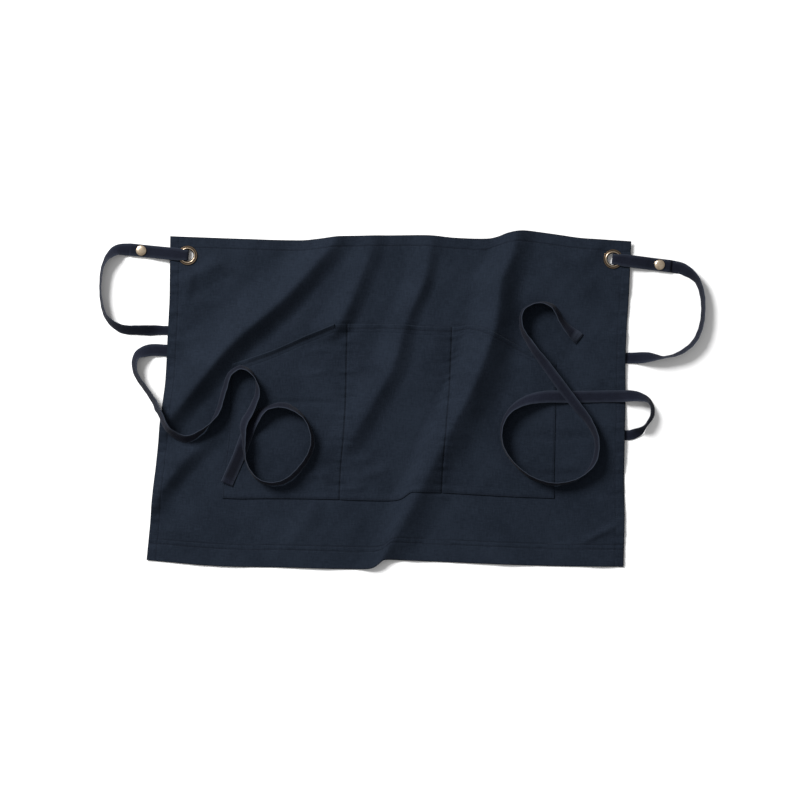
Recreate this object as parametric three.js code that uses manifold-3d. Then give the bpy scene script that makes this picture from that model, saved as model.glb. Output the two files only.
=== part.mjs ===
// A waist apron that lies on a flat surface: a hemmed twill panel with soft folds, a kangaroo patch sewn into
// three pockets, a brass eyelet in each upper corner, and a long loose tape snapped through each eyelet.
// Millimetres. +X runs across the apron, +Y towards the waist edge, +Z up off the surface.

import * as THREE from 'three';
import Module from 'manifold-3d';
import { mergeVertices } from 'three/addons/utils/BufferGeometryUtils.js';

const wasm = await Module();
wasm.setup();

// Panel
const panelWidth = 735;
const panelHeight = 502;
const clothThickness = 1.2;
const hemThickness = 2.2;
const sideHem = 14;
const waistHem = 16;
const bottomHem = 34;
const hemStepRun = 2;
const gridColumns = 38;
const gridRows = 25;
const roundSides = 20;

// Folds
const foldHeight = 16;
const foldReach = 45;
const foldLean = 0.24;

// Pocket patch
const pocketWidth = 517;
const pocketHeight = 264;
const pocketSideHeight = 205;
const pocketTopWidth = 202;
const pocketRise = 104;
const pocketThickness = 1.2;
const outlineStep = 20;

// Eyelets
const eyeletHole = 17.6;
const eyeletWall = 0.8;
const eyeletOuter = 30;
const eyeletBack = 27;
const eyeletFlange = 1;
const eyeletRim = 1.6;
const eyeletInset = 28;
const eyeletDrop = 29;
const eyeletLevel = 22;
const eyeletRamp = 40;

// Tapes
const tapeWidth = 19;
const tapeThickness = 1.3;
const tapeInHole = 16;
const flapReach = 90;
const tuckRamp = 30;

// Snaps
const snapReach = 72;
const snapCap = 16;
const snapDome = 2.4;
const snapDisc = 13;
const snapDiscThickness = 1;
const snapPost = 4.4;

// Clearance between neighbours
const gap = 0.3;

// Heights of the layers stacked at an eyelet and at a snap
const backTapeHeight = gap + tapeThickness / 2;
const eyeletLift = gap + tapeThickness + gap + eyeletFlange + gap;
const eyeletFront = eyeletLift + hemThickness + gap;
const frontTapeHeight = eyeletFront + eyeletRim + gap + tapeThickness / 2;
const snapBackHeight = gap + snapDiscThickness + gap + tapeThickness / 2;
const snapFrontHeight = snapBackHeight + tapeThickness + gap;
const snapFront = snapFrontHeight + tapeThickness / 2 + gap;
const tuckLift = gap + tapeThickness + 2 * gap;

// Corners of the panel as it lies. Columns: across, down, x as a share of the width, y of the height
const corners = {
  waistLeft: [-0.457, 0.502],
  waistRight: [0.508, 0.486],
  bottomLeft: [-0.507, -0.491],
  bottomRight: [0.492, -0.512],
};

// How far each edge leaves the straight line between its corners.
// Columns: share along the edge, offset as a share of the panel's height (waist, bottom) or width (sides)
const waistEdge = [
  [0, 0], [0.11, -0.004], [0.28, -0.008], [0.325, -0.002], [0.37, 0.006], [0.5, 0.011], [0.565, 0.0115],
  [0.62, 0.005], [0.688, 0.004], [0.71, 0.01], [0.732, 0.022], [0.758, 0.029], [0.782, 0.0285],
  [0.845, 0.0175], [0.89, 0.009], [0.935, 0.005], [1, 0],
];
const bottomEdge = [
  [0, 0], [0.03, -0.004], [0.15, -0.016], [0.27, -0.017], [0.38, -0.019], [0.463, -0.018], [0.478, -0.0115],
  [0.487, -0.0015], [0.498, 0.0107], [0.53, 0.0104], [0.615, 0.007], [0.74, 0.002], [0.87, -0.001], [1, 0],
];
const leftEdge = [
  [0, 0], [0.2, 0.008], [0.32, 0.01], [0.445, 0.0118], [0.505, 0.0107], [0.6, 0.007], [0.72, 0.005],
  [0.845, 0.0027], [1, 0],
];
const rightEdge = [
  [0, 0], [0.18, -0.0025], [0.27, -0.005], [0.365, -0.006], [0.49, -0.004], [0.61, -0.004], [0.73, -0.003],
  [0.85, 0], [1, 0],
];

// Soft folds, each a crest that runs down and to the left.
// Columns: down, across, height as a share of foldHeight, left and right reach as shares of foldReach
const folds = [
  [
    [0, 0.363, 0.35, 1, 0.7], [0.065, 0.325, 0.6, 1.2, 0.75], [0.19, 0.24, 0.85, 1.2, 0.75],
    [0.315, 0.145, 0.95, 1.2, 0.75], [0.437, 0.077, 0.9, 1.1, 0.75], [0.56, 0.022, 0.5, 1, 0.7],
    [0.64, 0, 0, 1, 0.7],
  ],
  [
    [0, 0.447, 0.2, 0.9, 0.6], [0.13, 0.413, 0.4, 0.9, 0.6], [0.235, 0.383, 0.5, 0.8, 0.6],
    [0.29, 0.365, 0.3, 0.8, 0.55], [0.32, 0.355, 0, 0.8, 0.5],
  ],
  [
    [0, 0.567, 0.12, 0.7, 0.45], [0.13, 0.552, 0.4, 0.7, 0.45], [0.258, 0.517, 0.42, 0.7, 0.5],
    [0.375, 0.496, 0.45, 0.8, 0.65], [0.495, 0.455, 0.45, 0.8, 0.65], [0.617, 0.409, 0.3, 0.8, 0.6],
    [0.69, 0.385, 0, 0.8, 0.6],
  ],
  [
    [0, 0.754, 0.45, 0.95, 0.8], [0.06, 0.745, 0.6, 0.95, 0.85], [0.155, 0.72, 0.85, 1, 0.9],
    [0.295, 0.711, 1.1, 1, 1.1], [0.45, 0.674, 1.15, 1, 1.35], [0.62, 0.62, 0.85, 0.95, 1.25],
    [0.713, 0.59, 0.65, 0.9, 1.1], [0.808, 0.558, 0.6, 0.85, 1.15], [0.9, 0.529, 0.52, 0.8, 1.1],
    [1, 0.49, 0.45, 0.8, 0.85],
  ],
  [
    [0.59, 0.12, 0, 0.8, 0.6], [0.664, 0.07, 0.4, 0.9, 0.6], [0.742, 0.032, 0.5, 0.9, 0.6],
    [0.81, 0.008, 0.4, 0.9, 0.6], [0.9, -0.02, 0, 0.9, 0.6],
  ],
];

// Places where the panel lies over a hidden stretch of tape. Columns: across, down
const tucks = [[0.026, 0.32], [0.97, 0.368], [0.97, 0.483], [0.97, 0.6]];

// Routes of the tapes as they lie, from beyond the snap to the loose end, from the eyelet's centre.
// Columns: x, y, roll in degrees, width as a share of the tape's, extra height, 1 where nothing lies under it
const leftRoute = [
  [-109, 8, 30, 1, 0, 0], [-127, -9, 70, 1, 0, 0], [-134, -52, 78, 1, 0, 0], [-125, -94, 70, 1, 0, 0],
  [-103, -112, 48, 1, 0, 1], [-66, -115, 38, 1, 0, 1], [-39, -115, 0, 0.72, 0, 1], [-8, -118, 0, 0.8, 0, 1],
  [2, -131, 0, 0.9, 0, 1], [-8, -144, 0, 0.95, 0, 1], [-29, -146, 0, 0.95, 0, 1], [-60, -146, 12, 1, 0, 1],
  [-79, -156, 55, 1, 0, 1], [-80, -180, 66, 1, 0, 0], [-60, -211, 64, 1, 0, 0], [-43, -239, 64, 1, 0, 0],
  [-28, -268, 63, 1, 0, 0], [-2, -282, 54, 1, 0, 0], [23, -270, 75, 1, 0, 0], [45, -243, 113, 1, 0, 0],
  [57, -206, 116, 1, 0, 0], [66, -182, 112, 1, 0, 0], [83, -172, 108, 1, 0, 0], [101, -183, 98, 1, 0, 0],
  [108, -209, 65, 1, 0, 0], [99, -236, 56, 1, 1, 0], [87, -259, 50, 1, 3, 0], [87, -284, 72, 1, 3, 0],
  [91, -319, 84, 1, 1, 0], [111, -346, 78, 1, 0, 0], [142, -350, 70, 1, 0, 0], [171, -330, 68, 1, 0, 0],
  [192, -291, 74, 1, 0, 0], [182, -253, 86, 1, 0, 0], [152, -231, 64, 1, 0, 0], [122, -235, 74, 1, 0, 0],
  [101, -256, 30, 1, 0, 0], [89, -281, 0, 1, 0, 0], [79, -308, 0, 1, 0, 0], [60, -351, 0, 1, 0, 0],
];
const rightRoute = [
  [109, -16, 30, 1, 0, 0], [130, -35, 70, 1, 0, 0], [138, -78, 78, 1, 0, 0], [128, -121, 75, 1, 0, 0],
  [105, -143, 74, 1, 0, 1], [78, -151, 84, 1, 0, 1], [56, -151, 40, 1, 0, 1], [38, -152, 4, 0.92, 0, 1],
  [13, -153, 0, 0.85, 0, 1], [-11, -160, 0, 0.85, 0, 1], [-22, -186, 0, 0.85, 0, 1],
  [-22, -238, 0, 0.85, 0, 1], [-11, -264, 0, 0.85, 0, 1], [24, -271, 0, 0.8, 0, 1],
  [36, -267, 24, 0.85, 0, 1],
  [48, -258, 76, 1, 0, 1], [60, -239, 64, 1, 0, 0], [56, -219, 72, 1, 0, 0], [35, -211, 34, 1, 0, 0],
  [8, -211, 0, 0.95, 0, 0], [-62, -212, 0, 0.95, 0, 0], [-105, -212, 14, 1, 0, 0], [-135, -218, 45, 1, 0, 0],
  [-160, -234, 72, 1, 0, 0], [-172, -260, 84, 1, 0, 0], [-169, -289, 88, 1, 0, 0], [-150, -317, 84, 1, 0, 0],
  [-122, -338, 76, 1, 0, 0], [-88, -346, 76, 1, 0, 0], [-52, -336, 84, 1, 0, 0], [-30, -311, 108, 1, 0, 0],
  [-26, -278, 108, 1, 0, 0], [-38, -250, 122, 1, 0, 0], [-59, -223, 138, 1, 3, 0],
  [-82, -193, 142, 1, 3, 0], [-104, -163, 136, 1, 0, 0], [-127, -132, 120, 1, 0, 0],
  [-142, -102, 100, 1, 0, 0], [-139, -79, 96, 1, 0, 0], [-116, -67, 94, 1, 0, 0], [-93, -73, 112, 1, 0, 0],
  [-79, -96, 118, 1, 0, 0], [-52, -123, 178, 1, 1, 0],
];
const tapeSlant = { left: 6, right: -7 };
const looseSteps = 62;

// Materials
const twill = new THREE.MeshStandardMaterial({ color: 0x1a2438, roughness: 0.92, metalness: 0 });
const twillPocket = new THREE.MeshStandardMaterial({ color: 0x1b2539, roughness: 0.92, metalness: 0 });
const cottonTape = new THREE.MeshStandardMaterial({ color: 0x1c2236, roughness: 0.88, metalness: 0 });
const agedBrass = new THREE.MeshStandardMaterial({ color: 0x8c7a5c, roughness: 0.42, metalness: 0.9 });

// Smooth interpolation of a table's column over its first column
function along(table, key, column) {
  const last = table.length - 1;
  if (key <= table[0][0]) return table[0][column];
  if (key >= table[last][0]) return table[last][column];
  let row = 0;
  while (key > table[row + 1][0]) row += 1;
  const slope = (index) => {
    const low = Math.max(index - 1, 0);
    const high = Math.min(index + 1, last);
    return (table[high][column] - table[low][column]) / (table[high][0] - table[low][0]);
  };
  const span = table[row + 1][0] - table[row][0];
  const t = (key - table[row][0]) / span;
  const bend = (1 - t) * slope(row) * span * t * (1 - t) - t * slope(row + 1) * span * t * (1 - t);
  const ease = t * t * (3 - 2 * t);
  return table[row][column] * (1 - ease) + table[row + 1][column] * ease + bend;
}

function smoothFall(distance, flat, ramp) {
  const t = THREE.MathUtils.clamp((distance - flat) / ramp, 0, 1);
  return 1 - t * t * (3 - 2 * t);
}

// Where a point of the flat panel lies, from its shares across and down
function planX(across, down) {
  const top = THREE.MathUtils.lerp(corners.waistLeft[0], corners.waistRight[0], across);
  const bottom = THREE.MathUtils.lerp(corners.bottomLeft[0], corners.bottomRight[0], across);
  const edges = THREE.MathUtils.lerp(along(leftEdge, down, 1), along(rightEdge, down, 1), across);
  return panelWidth * (THREE.MathUtils.lerp(top, bottom, down) + edges);
}

function planY(across, down) {
  const top = THREE.MathUtils.lerp(corners.waistLeft[1], corners.waistRight[1], across);
  const bottom = THREE.MathUtils.lerp(corners.bottomLeft[1], corners.bottomRight[1], across);
  const lean = foldLean * 4 * across * (1 - across);
  const waist = along(waistEdge, across + lean * down, 1);
  const hem = along(bottomEdge, across - lean * (1 - down), 1);
  return panelHeight * (THREE.MathUtils.lerp(top, bottom, down) + THREE.MathUtils.lerp(waist, hem, down));
}

function foldRise(table, across, down) {
  if (down < table[0][0] || down > table[table.length - 1][0]) return 0;
  const probe = 0.01;
  const drift = (along(table, down + probe, 1) - along(table, down - probe, 1)) / (2 * probe);
  const lean = Math.atan(drift * panelWidth / panelHeight);
  const distance = (across - along(table, down, 1)) * panelWidth * Math.cos(lean);
  const reach = foldReach * along(table, down, distance < 0 ? 3 : 4);
  const share = Math.min(Math.abs(distance) / reach, 1);
  return foldHeight * Math.max(along(table, down, 2), 0) * 0.5 * (1 + Math.cos(Math.PI * share));
}

// Height of the panel's underside at the hems
function rise(across, down) {
  let folded = 0;
  for (const table of folds) folded += foldRise(table, across, down);
  let lifted = 0;
  for (const side of [eyeletInset, panelWidth - eyeletInset]) {
    const distance = Math.hypot(across * panelWidth - side, down * panelHeight - eyeletDrop);
    lifted = Math.max(lifted, eyeletLift * smoothFall(distance, eyeletOuter / 2 + eyeletLevel, eyeletRamp));
  }
  for (const [tuckAcross, tuckDown] of tucks) {
    const distance = Math.hypot((across - tuckAcross) * panelWidth, (down - tuckDown) * panelHeight);
    lifted = Math.max(lifted, tuckLift * smoothFall(distance, 2 * tapeWidth, tuckRamp));
  }
  return lifted + folded;
}

// Grid lines with a narrow step beside each hem
function gridLines(length, firstHem, lastHem, count) {
  const start = firstHem + hemStepRun;
  const end = length - lastHem - hemStepRun;
  const inner = Array.from({ length: count + 1 }, (_, i) => THREE.MathUtils.lerp(start, end, i / count));
  return [0, firstHem, ...inner, length - lastHem, length].map((value) => value / length);
}

function toSolid(geometry) {
  const plain = geometry.clone();
  plain.deleteAttribute('normal');
  plain.deleteAttribute('uv');
  const merged = mergeVertices(plain, 1e-4);
  return new wasm.Manifold(new wasm.Mesh({
    numProp: 3,
    vertProperties: new Float32Array(merged.attributes.position.array),
    triVerts: new Uint32Array(merged.index.array),
  }));
}

function toGeometry(solid) {
  const { vertProperties, triVerts } = solid.getMesh();
  const geometry = new THREE.BufferGeometry();
  geometry.setAttribute('position', new THREE.BufferAttribute(vertProperties, 3));
  geometry.setIndex(new THREE.BufferAttribute(triVerts, 1));
  geometry.computeVertexNormals();
  return geometry;
}

function meshFrom(name, geometry, material) {
  const mesh = new THREE.Mesh(geometry, material);
  mesh.name = name;
  return mesh;
}

// Closed sheet between two heights over a grid of the panel
function sheet(columns, rows, bottomHeight, topHeight) {
  const points = [];
  const layer = (height) => {
    for (const down of rows) {
      for (const across of columns) {
        points.push(planX(across, down), planY(across, down), height(across, down));
      }
    }
  };
  layer(topHeight);
  layer(bottomHeight);
  const width = columns.length;
  const under = width * rows.length;
  const faces = [];
  const quad = (a, b, c, d) => faces.push(a, b, c, a, c, d);
  for (let row = 0; row < rows.length - 1; row += 1) {
    for (let column = 0; column < width - 1; column += 1) {
      const corner = row * width + column;
      quad(corner + width, corner + width + 1, corner + 1, corner);
      quad(under + corner + 1, under + corner + width + 1, under + corner + width, under + corner);
    }
  }
  const edge = (a, b) => quad(a, b, under + b, under + a);
  const lastRow = (rows.length - 1) * width;
  for (let column = 0; column < width - 1; column += 1) {
    edge(column, column + 1);
    edge(lastRow + column + 1, lastRow + column);
  }
  for (let row = 0; row < rows.length - 1; row += 1) {
    edge((row + 1) * width, row * width);
    edge(row * width + width - 1, (row + 1) * width + width - 1);
  }
  const geometry = new THREE.BufferGeometry();
  geometry.setAttribute('position', new THREE.Float32BufferAttribute(points, 3));
  geometry.setIndex(faces);
  return geometry;
}

const columns = gridLines(panelWidth, sideHem, sideHem, gridColumns);
const rows = gridLines(panelHeight, waistHem, bottomHem, gridRows);

function inHem(across, down) {
  const x = across * panelWidth;
  const y = down * panelHeight;
  const slack = hemStepRun / 2;
  const sides = x < sideHem + slack || x > panelWidth - sideHem - slack;
  return sides || y < waistHem + slack || y > panelHeight - bottomHem - slack;
}

function eyeletCentre(side) {
  const across = (side < 0 ? eyeletInset : panelWidth - eyeletInset) / panelWidth;
  const down = eyeletDrop / panelHeight;
  return new THREE.Vector3(planX(across, down), planY(across, down), 0);
}

function drill(solid, centre, radius, height) {
  const bit = new THREE.CylinderGeometry(radius, radius, 2 * height, roundSides);
  bit.rotateX(Math.PI / 2);
  bit.translate(centre.x, centre.y, 0);
  return solid.subtract(toSolid(bit));
}

// Panel
function makePanel() {
  const step = hemThickness - clothThickness;
  const underside = (across, down) => rise(across, down) + (inHem(across, down) ? 0 : step);
  const face = (across, down) => rise(across, down) + hemThickness;
  let solid = toSolid(sheet(columns, rows, underside, face));
  const holeRadius = eyeletHole / 2 + eyeletWall + gap;
  for (const side of [-1, 1]) solid = drill(solid, eyeletCentre(side), holeRadius, foldHeight);
  return meshFrom('panel', toGeometry(solid), twill);
}

// Pocket patch, cut from a sheet that follows the panel
function pocketOutline() {
  const centre = panelWidth / 2;
  const bottom = panelHeight - pocketRise;
  const half = pocketWidth / 2;
  const halfTop = pocketTopWidth / 2;
  const turns = [
    [centre - half, bottom], [centre + half, bottom], [centre + half, bottom - pocketSideHeight],
    [centre + halfTop, bottom - pocketHeight], [centre - halfTop, bottom - pocketHeight],
    [centre - half, bottom - pocketSideHeight],
  ];
  const outline = [];
  turns.forEach((start, index) => {
    const end = turns[(index + 1) % turns.length];
    const count = Math.ceil(Math.hypot(end[0] - start[0], end[1] - start[1]) / outlineStep);
    for (let i = 0; i < count; i += 1) {
      const across = THREE.MathUtils.lerp(start[0], end[0], i / count) / panelWidth;
      const down = THREE.MathUtils.lerp(start[1], end[1], i / count) / panelHeight;
      outline.push(new THREE.Vector2(planX(across, down), planY(across, down)));
    }
  });
  return outline;
}

function makePocket() {
  const across = pocketWidth / panelWidth / 2;
  const below = 1 - pocketRise / panelHeight;
  const above = below - pocketHeight / panelHeight;
  const near = (lines, low, high) => lines.filter((value, index) => {
    const before = lines[Math.max(index - 1, 0)];
    const after = lines[Math.min(index + 1, lines.length - 1)];
    return after > low && before < high;
  });
  const bottom = (a, d) => rise(a, d) + hemThickness + gap;
  const top = (a, d) => bottom(a, d) + pocketThickness;
  const spread = sheet(near(columns, 0.5 - across, 0.5 + across), near(rows, above, below), bottom, top);
  const cutter = new THREE.ExtrudeGeometry(new THREE.Shape(pocketOutline()), {
    depth: 4 * foldHeight,
    bevelEnabled: false,
  });
  return meshFrom('pocket', toGeometry(toSolid(spread).intersect(toSolid(cutter))), twillPocket);
}

// Eyelets
function makeEyelet(name, side) {
  const inner = eyeletHole / 2;
  const barrel = inner + eyeletWall;
  const outer = eyeletOuter / 2;
  const backTop = eyeletLift - gap;
  const backBottom = backTop - eyeletFlange;
  const crown = eyeletFront + eyeletRim;
  const profile = [
    [inner, backBottom], [eyeletBack / 2, backBottom], [eyeletBack / 2, backTop], [barrel, backTop],
    [barrel, eyeletFront], [outer, eyeletFront], [outer, eyeletFront + eyeletRim / 3],
    [(outer + inner) / 2 + eyeletWall, crown], [inner + eyeletWall, crown], [inner, crown - eyeletWall],
    [inner, backBottom],
  ];
  const geometry = new THREE.LatheGeometry(profile.map(([r, z]) => new THREE.Vector2(r, z)), roundSides);
  geometry.rotateX(Math.PI / 2);
  const mesh = meshFrom(name, geometry, agedBrass);
  mesh.position.copy(eyeletCentre(side));
  return mesh;
}

// Snaps
function tapeDirection(side) {
  const slant = THREE.MathUtils.degToRad(side < 0 ? tapeSlant.left : tapeSlant.right);
  return new THREE.Vector3(side * Math.cos(slant), Math.sin(slant), 0);
}

function snapCentre(side) {
  return eyeletCentre(side).addScaledVector(tapeDirection(side), snapReach);
}

function makeSnap(name, side) {
  const cap = snapCap / 2;
  const profile = [
    [0, gap], [snapDisc / 2, gap], [snapDisc / 2, gap + snapDiscThickness],
    [snapPost / 2, gap + snapDiscThickness],
    [snapPost / 2, snapFront], [cap, snapFront], [cap, snapFront + snapDome / 3],
    [cap * 0.8, snapFront + snapDome * 0.75], [cap * 0.4, snapFront + snapDome * 0.96],
    [0, snapFront + snapDome],
  ];
  const geometry = new THREE.LatheGeometry(profile.map(([r, z]) => new THREE.Vector2(r, z)), roundSides);
  geometry.rotateX(Math.PI / 2);
  const mesh = meshFrom(name, geometry, agedBrass);
  mesh.position.copy(snapCentre(side));
  return mesh;
}

// Tapes: the stretch that is fastened, from the flap's end through the eyelet and back past the snap.
// Columns: distance out from the eyelet, height of the tape's middle, width
function fastenedStretch() {
  const inHole = -tapeThickness / 2;
  const turn = 1.5;
  const straight = 6;
  return [
    [flapReach, snapFrontHeight, tapeWidth], [snapReach, snapFrontHeight, tapeWidth],
    [snapReach - snapCap * 0.75, snapFrontHeight, tapeWidth],
    [(snapReach + eyeletInset) / 2, (snapFrontHeight + frontTapeHeight) / 2 - gap, tapeWidth],
    [eyeletInset + gap, frontTapeHeight - gap, tapeWidth], [eyeletOuter / 2, frontTapeHeight, tapeWidth],
    [straight, frontTapeHeight, tapeInHole], [turn, frontTapeHeight - gap, tapeInHole],
    [inHole, frontTapeHeight - turn, tapeInHole], [inHole, backTapeHeight + turn, tapeInHole],
    [turn, backTapeHeight + gap, tapeInHole], [straight, backTapeHeight, tapeInHole],
    [eyeletOuter / 2, backTapeHeight, tapeWidth], [eyeletInset + straight, backTapeHeight, tapeWidth],
    [snapReach - snapCap, snapBackHeight, tapeWidth], [snapReach, snapBackHeight, tapeWidth],
    [flapReach, snapBackHeight, tapeWidth],
  ];
}

// Height of what lies under a point
const ray = new THREE.Raycaster();
const downwards = new THREE.Vector3(0, 0, -1);

function surfaceHeight(x, y, supports) {
  ray.set(new THREE.Vector3(x, y, 10 * foldHeight), downwards);
  const hits = ray.intersectObjects(supports, false);
  return hits.length > 0 ? hits[0].point.z : 0;
}

// Stations of the loose stretch: place, direction across the tape, and width
function looseStretch(route, centre, side, supports) {
  const start = centre.clone().addScaledVector(tapeDirection(side), flapReach);
  const planPoints = route.map(([x, y]) => new THREE.Vector3(centre.x + x, centre.y + y, 0));
  const curve = new THREE.CatmullRomCurve3([start, ...planPoints], false, 'centripetal');
  const settings = [[0, 0, 0, 1, 0, 0], ...route];
  const stations = [];
  for (let i = 1; i <= looseSteps; i += 1) {
    const place = i * route.length / looseSteps;
    const low = Math.min(Math.floor(place), route.length - 1);
    const share = place - low;
    const mix = (column) => THREE.MathUtils.lerp(settings[low][column], settings[low + 1][column], share);
    const roll = THREE.MathUtils.degToRad(mix(2));
    const bare = mix(5) > 0.5;
    const point = curve.getPoint(i / looseSteps);
    const heading = curve.getTangent(i / looseSteps).setZ(0).normalize();
    const left = new THREE.Vector3(-heading.y, heading.x, 0);
    const width = tapeWidth * mix(3);
    const halfHeight = Math.abs(Math.sin(roll)) * width / 2 + Math.abs(Math.cos(roll)) * tapeThickness / 2;
    const footprint = Math.abs(Math.cos(roll)) * width / 2 + tapeThickness;
    const stride = 0.8 * curve.getLength() / looseSteps;
    let ground = 0;
    if (!bare) {
      for (const step of [-1, -0.5, 0, 0.5, 1]) {
        for (const sideways of [-1, -0.5, 0, 0.5, 1]) {
          const probe = point.clone().addScaledVector(heading, step * stride);
          probe.addScaledVector(left, sideways * footprint);
          ground = Math.max(ground, surfaceHeight(probe.x, probe.y, supports));
        }
      }
    }
    point.z = ground + gap + halfHeight + mix(4);
    stations.push({ point, left, roll, width });
  }
  return stations;
}

// Closed ribbon through stations, with eight-sided sections
function ribbon(stations) {
  const points = [];
  const faces = [];
  const sides = 8;
  stations.forEach((station, index) => {
    const before = stations[Math.max(index - 1, 0)].point;
    const after = stations[Math.min(index + 1, stations.length - 1)].point;
    const tangent = after.clone().sub(before).normalize();
    const across = station.across.clone().addScaledVector(tangent, -station.across.dot(tangent)).normalize();
    const normal = new THREE.Vector3().crossVectors(tangent, across);
    const half = station.width / 2;
    const thick = tapeThickness / 2;
    const section = [
      [half, -thick / 2], [half, thick / 2], [half - thick, thick], [thick - half, thick],
      [-half, thick / 2], [-half, -thick / 2], [thick - half, -thick], [half - thick, -thick],
    ];
    for (const [u, v] of section) {
      const corner = station.point.clone().addScaledVector(across, u).addScaledVector(normal, v);
      points.push(corner.x, corner.y, corner.z);
    }
  });
  for (let ring = 0; ring < stations.length - 1; ring += 1) {
    for (let i = 0; i < sides; i += 1) {
      const a = ring * sides + i;
      const b = ring * sides + (i + 1) % sides;
      // Both broad faces are split along the same diagonal, so a twisted stretch keeps its thickness
      if (i < sides / 2) faces.push(a, b, b + sides, a, b + sides, a + sides);
      else faces.push(a, b, a + sides, b, b + sides, a + sides);
    }
  }
  const last = (stations.length - 1) * sides;
  for (let i = 1; i < sides - 1; i += 1) {
    faces.push(0, i + 1, i);
    faces.push(last, last + i, last + i + 1);
  }
  const geometry = new THREE.BufferGeometry();
  geometry.setAttribute('position', new THREE.Float32BufferAttribute(points, 3));
  geometry.setIndex(faces);
  return geometry;
}

function makeTie(name, side, route, supports) {
  const centre = eyeletCentre(side);
  const outward = tapeDirection(side);
  const sideways = new THREE.Vector3(outward.y, -outward.x, 0);
  const fastened = fastenedStretch().map(([out, height, width]) => ({
    point: centre.clone().addScaledVector(outward, out).setZ(height),
    across: sideways,
    width,
  }));
  const up = new THREE.Vector3(0, 0, 1);
  const loose = looseStretch(route, centre, side, supports).map(({ point, left, roll, width }) => ({
    point,
    across: left.clone().multiplyScalar(-Math.cos(roll)).addScaledVector(up, -Math.sin(roll)),
    width,
  }));
  const solid = toSolid(ribbon([...fastened, ...loose]));
  const drilled = drill(solid, snapCentre(side), snapPost / 2 + gap, snapFront);
  return meshFrom(name, toGeometry(drilled), cottonTape);
}

// The apron, moved so that the panel's box is centred
const panel = makePanel();
const pocket = makePocket();
const supports = [panel, pocket];
const apron = new THREE.Group();
apron.add(panel, pocket);
apron.add(makeEyelet('grommet_left', -1), makeEyelet('grommet_right', 1));
apron.add(makeTie('tie_left', -1, leftRoute, supports), makeTie('tie_right', 1, rightRoute, supports));
apron.add(makeSnap('snap_left', -1), makeSnap('snap_right', 1));

const middle = new THREE.Box3().setFromObject(panel).getCenter(new THREE.Vector3());
apron.position.set(-middle.x, -middle.y, 0);

const group = new THREE.Group();
group.add(apron);

export default group;
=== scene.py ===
"""A navy waist apron that lies flat on a pale surface: hemmed twill with soft folds, a kangaroo patch sewn
into three pockets, antique-brass eyelets, and long cotton tapes snapped through them.
Metres, in the model's frame."""
import math
from collections import namedtuple

import bmesh
import bpy
import numpy as np
from mathutils import Matrix, Vector
from mathutils.bvhtree import BVHTree


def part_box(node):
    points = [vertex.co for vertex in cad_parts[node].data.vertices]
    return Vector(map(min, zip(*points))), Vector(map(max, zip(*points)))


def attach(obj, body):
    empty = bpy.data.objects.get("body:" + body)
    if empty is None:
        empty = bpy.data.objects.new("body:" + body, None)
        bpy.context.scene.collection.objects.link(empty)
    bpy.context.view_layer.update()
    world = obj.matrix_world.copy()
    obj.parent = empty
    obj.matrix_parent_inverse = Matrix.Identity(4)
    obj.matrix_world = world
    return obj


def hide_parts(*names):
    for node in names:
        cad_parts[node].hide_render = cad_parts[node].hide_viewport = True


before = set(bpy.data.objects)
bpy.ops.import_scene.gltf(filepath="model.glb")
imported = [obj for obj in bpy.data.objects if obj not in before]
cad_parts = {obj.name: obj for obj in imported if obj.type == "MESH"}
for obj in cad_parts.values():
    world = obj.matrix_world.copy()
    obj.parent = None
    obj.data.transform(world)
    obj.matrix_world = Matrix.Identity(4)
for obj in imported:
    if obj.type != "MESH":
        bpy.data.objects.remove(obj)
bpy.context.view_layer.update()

# Sizes of the apron, as the model has them
panel_width = 0.735
panel_height = 0.502
hem_thickness = 0.0022
side_hem = 0.014
waist_hem = 0.016
bottom_hem = 0.034
stitch_gap = 0.007
fold_height = 0.016
fold_reach = 0.045
fold_lean = 0.24
pocket_width = 0.517
pocket_height = 0.264
pocket_side_height = 0.205
pocket_top_width = 0.202
pocket_rise = 0.104
pocket_hem = 0.013
eyelet_hole = 0.0176
eyelet_outer = 0.03
eyelet_inset = 0.028
eyelet_drop = 0.029
eyelet_level = 0.022
eyelet_ramp = 0.04
tape_width = 0.019
tape_thickness = 0.0013
tape_in_hole = 0.016
flap_reach = 0.09
flap_hem = 0.032
tail_hem = 0.009
snap_reach = 0.072
snap_cap = 0.016
front_flange = 0.0016
back_flange = 0.001
snap_disc = 0.001
gap = 0.0003
cloth_layer = 0.0012
tuck_ramp = 0.03

# How the dressed folds are drawn: higher than the model's, with rounded crests and their own flanks
fold_draw = 1.3
crest_round = 0.004
left_flank = 0.8
right_flank = 0.6
left_widen = 1.05
right_widen = 0.88

# Fine details of the sewn cloth
hem_step = 0.00025
hem_ramp_before = 0.001
hem_ramp_after = 0.0035
cloth_rest = 0.001
floor_clearance = 0.0001
edge_drop = 0.0009
edge_reach = 0.0013
furrow_width = 0.0011
patch_stitch_inset = 0.0018
cut_clearance = 0.0018
panel_grid_step = 0.00315
patch_grid_step = 0.0027
patch_grid_inset = 0.002

# Sizes of the stitches: on the cloth, and on the tapes
stitch_pitch = 0.0032
stitch_length = 0.0024
stitch_radius = 0.00028
tape_stitch_pitch = 0.003
tape_stitch_length = 0.0023
tape_stitch_radius = 0.00026

# Heights of the layers at the eyelets and the snaps
back_tape_height = gap + tape_thickness / 2
eyelet_lift = gap + tape_thickness + gap + back_flange + gap
front_tape_height = eyelet_lift + hem_thickness + gap + front_flange + gap + tape_thickness / 2
snap_back_height = gap + snap_disc + gap + tape_thickness / 2
snap_front_height = snap_back_height + tape_thickness + gap
tuck_lift = gap + tape_thickness + 2 * gap

# The photograph's scale and middle, for the camera
metres_per_pixel = 0.00154
photo_pixels = 800
panel_middle_pixel = (389, 400)

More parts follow.
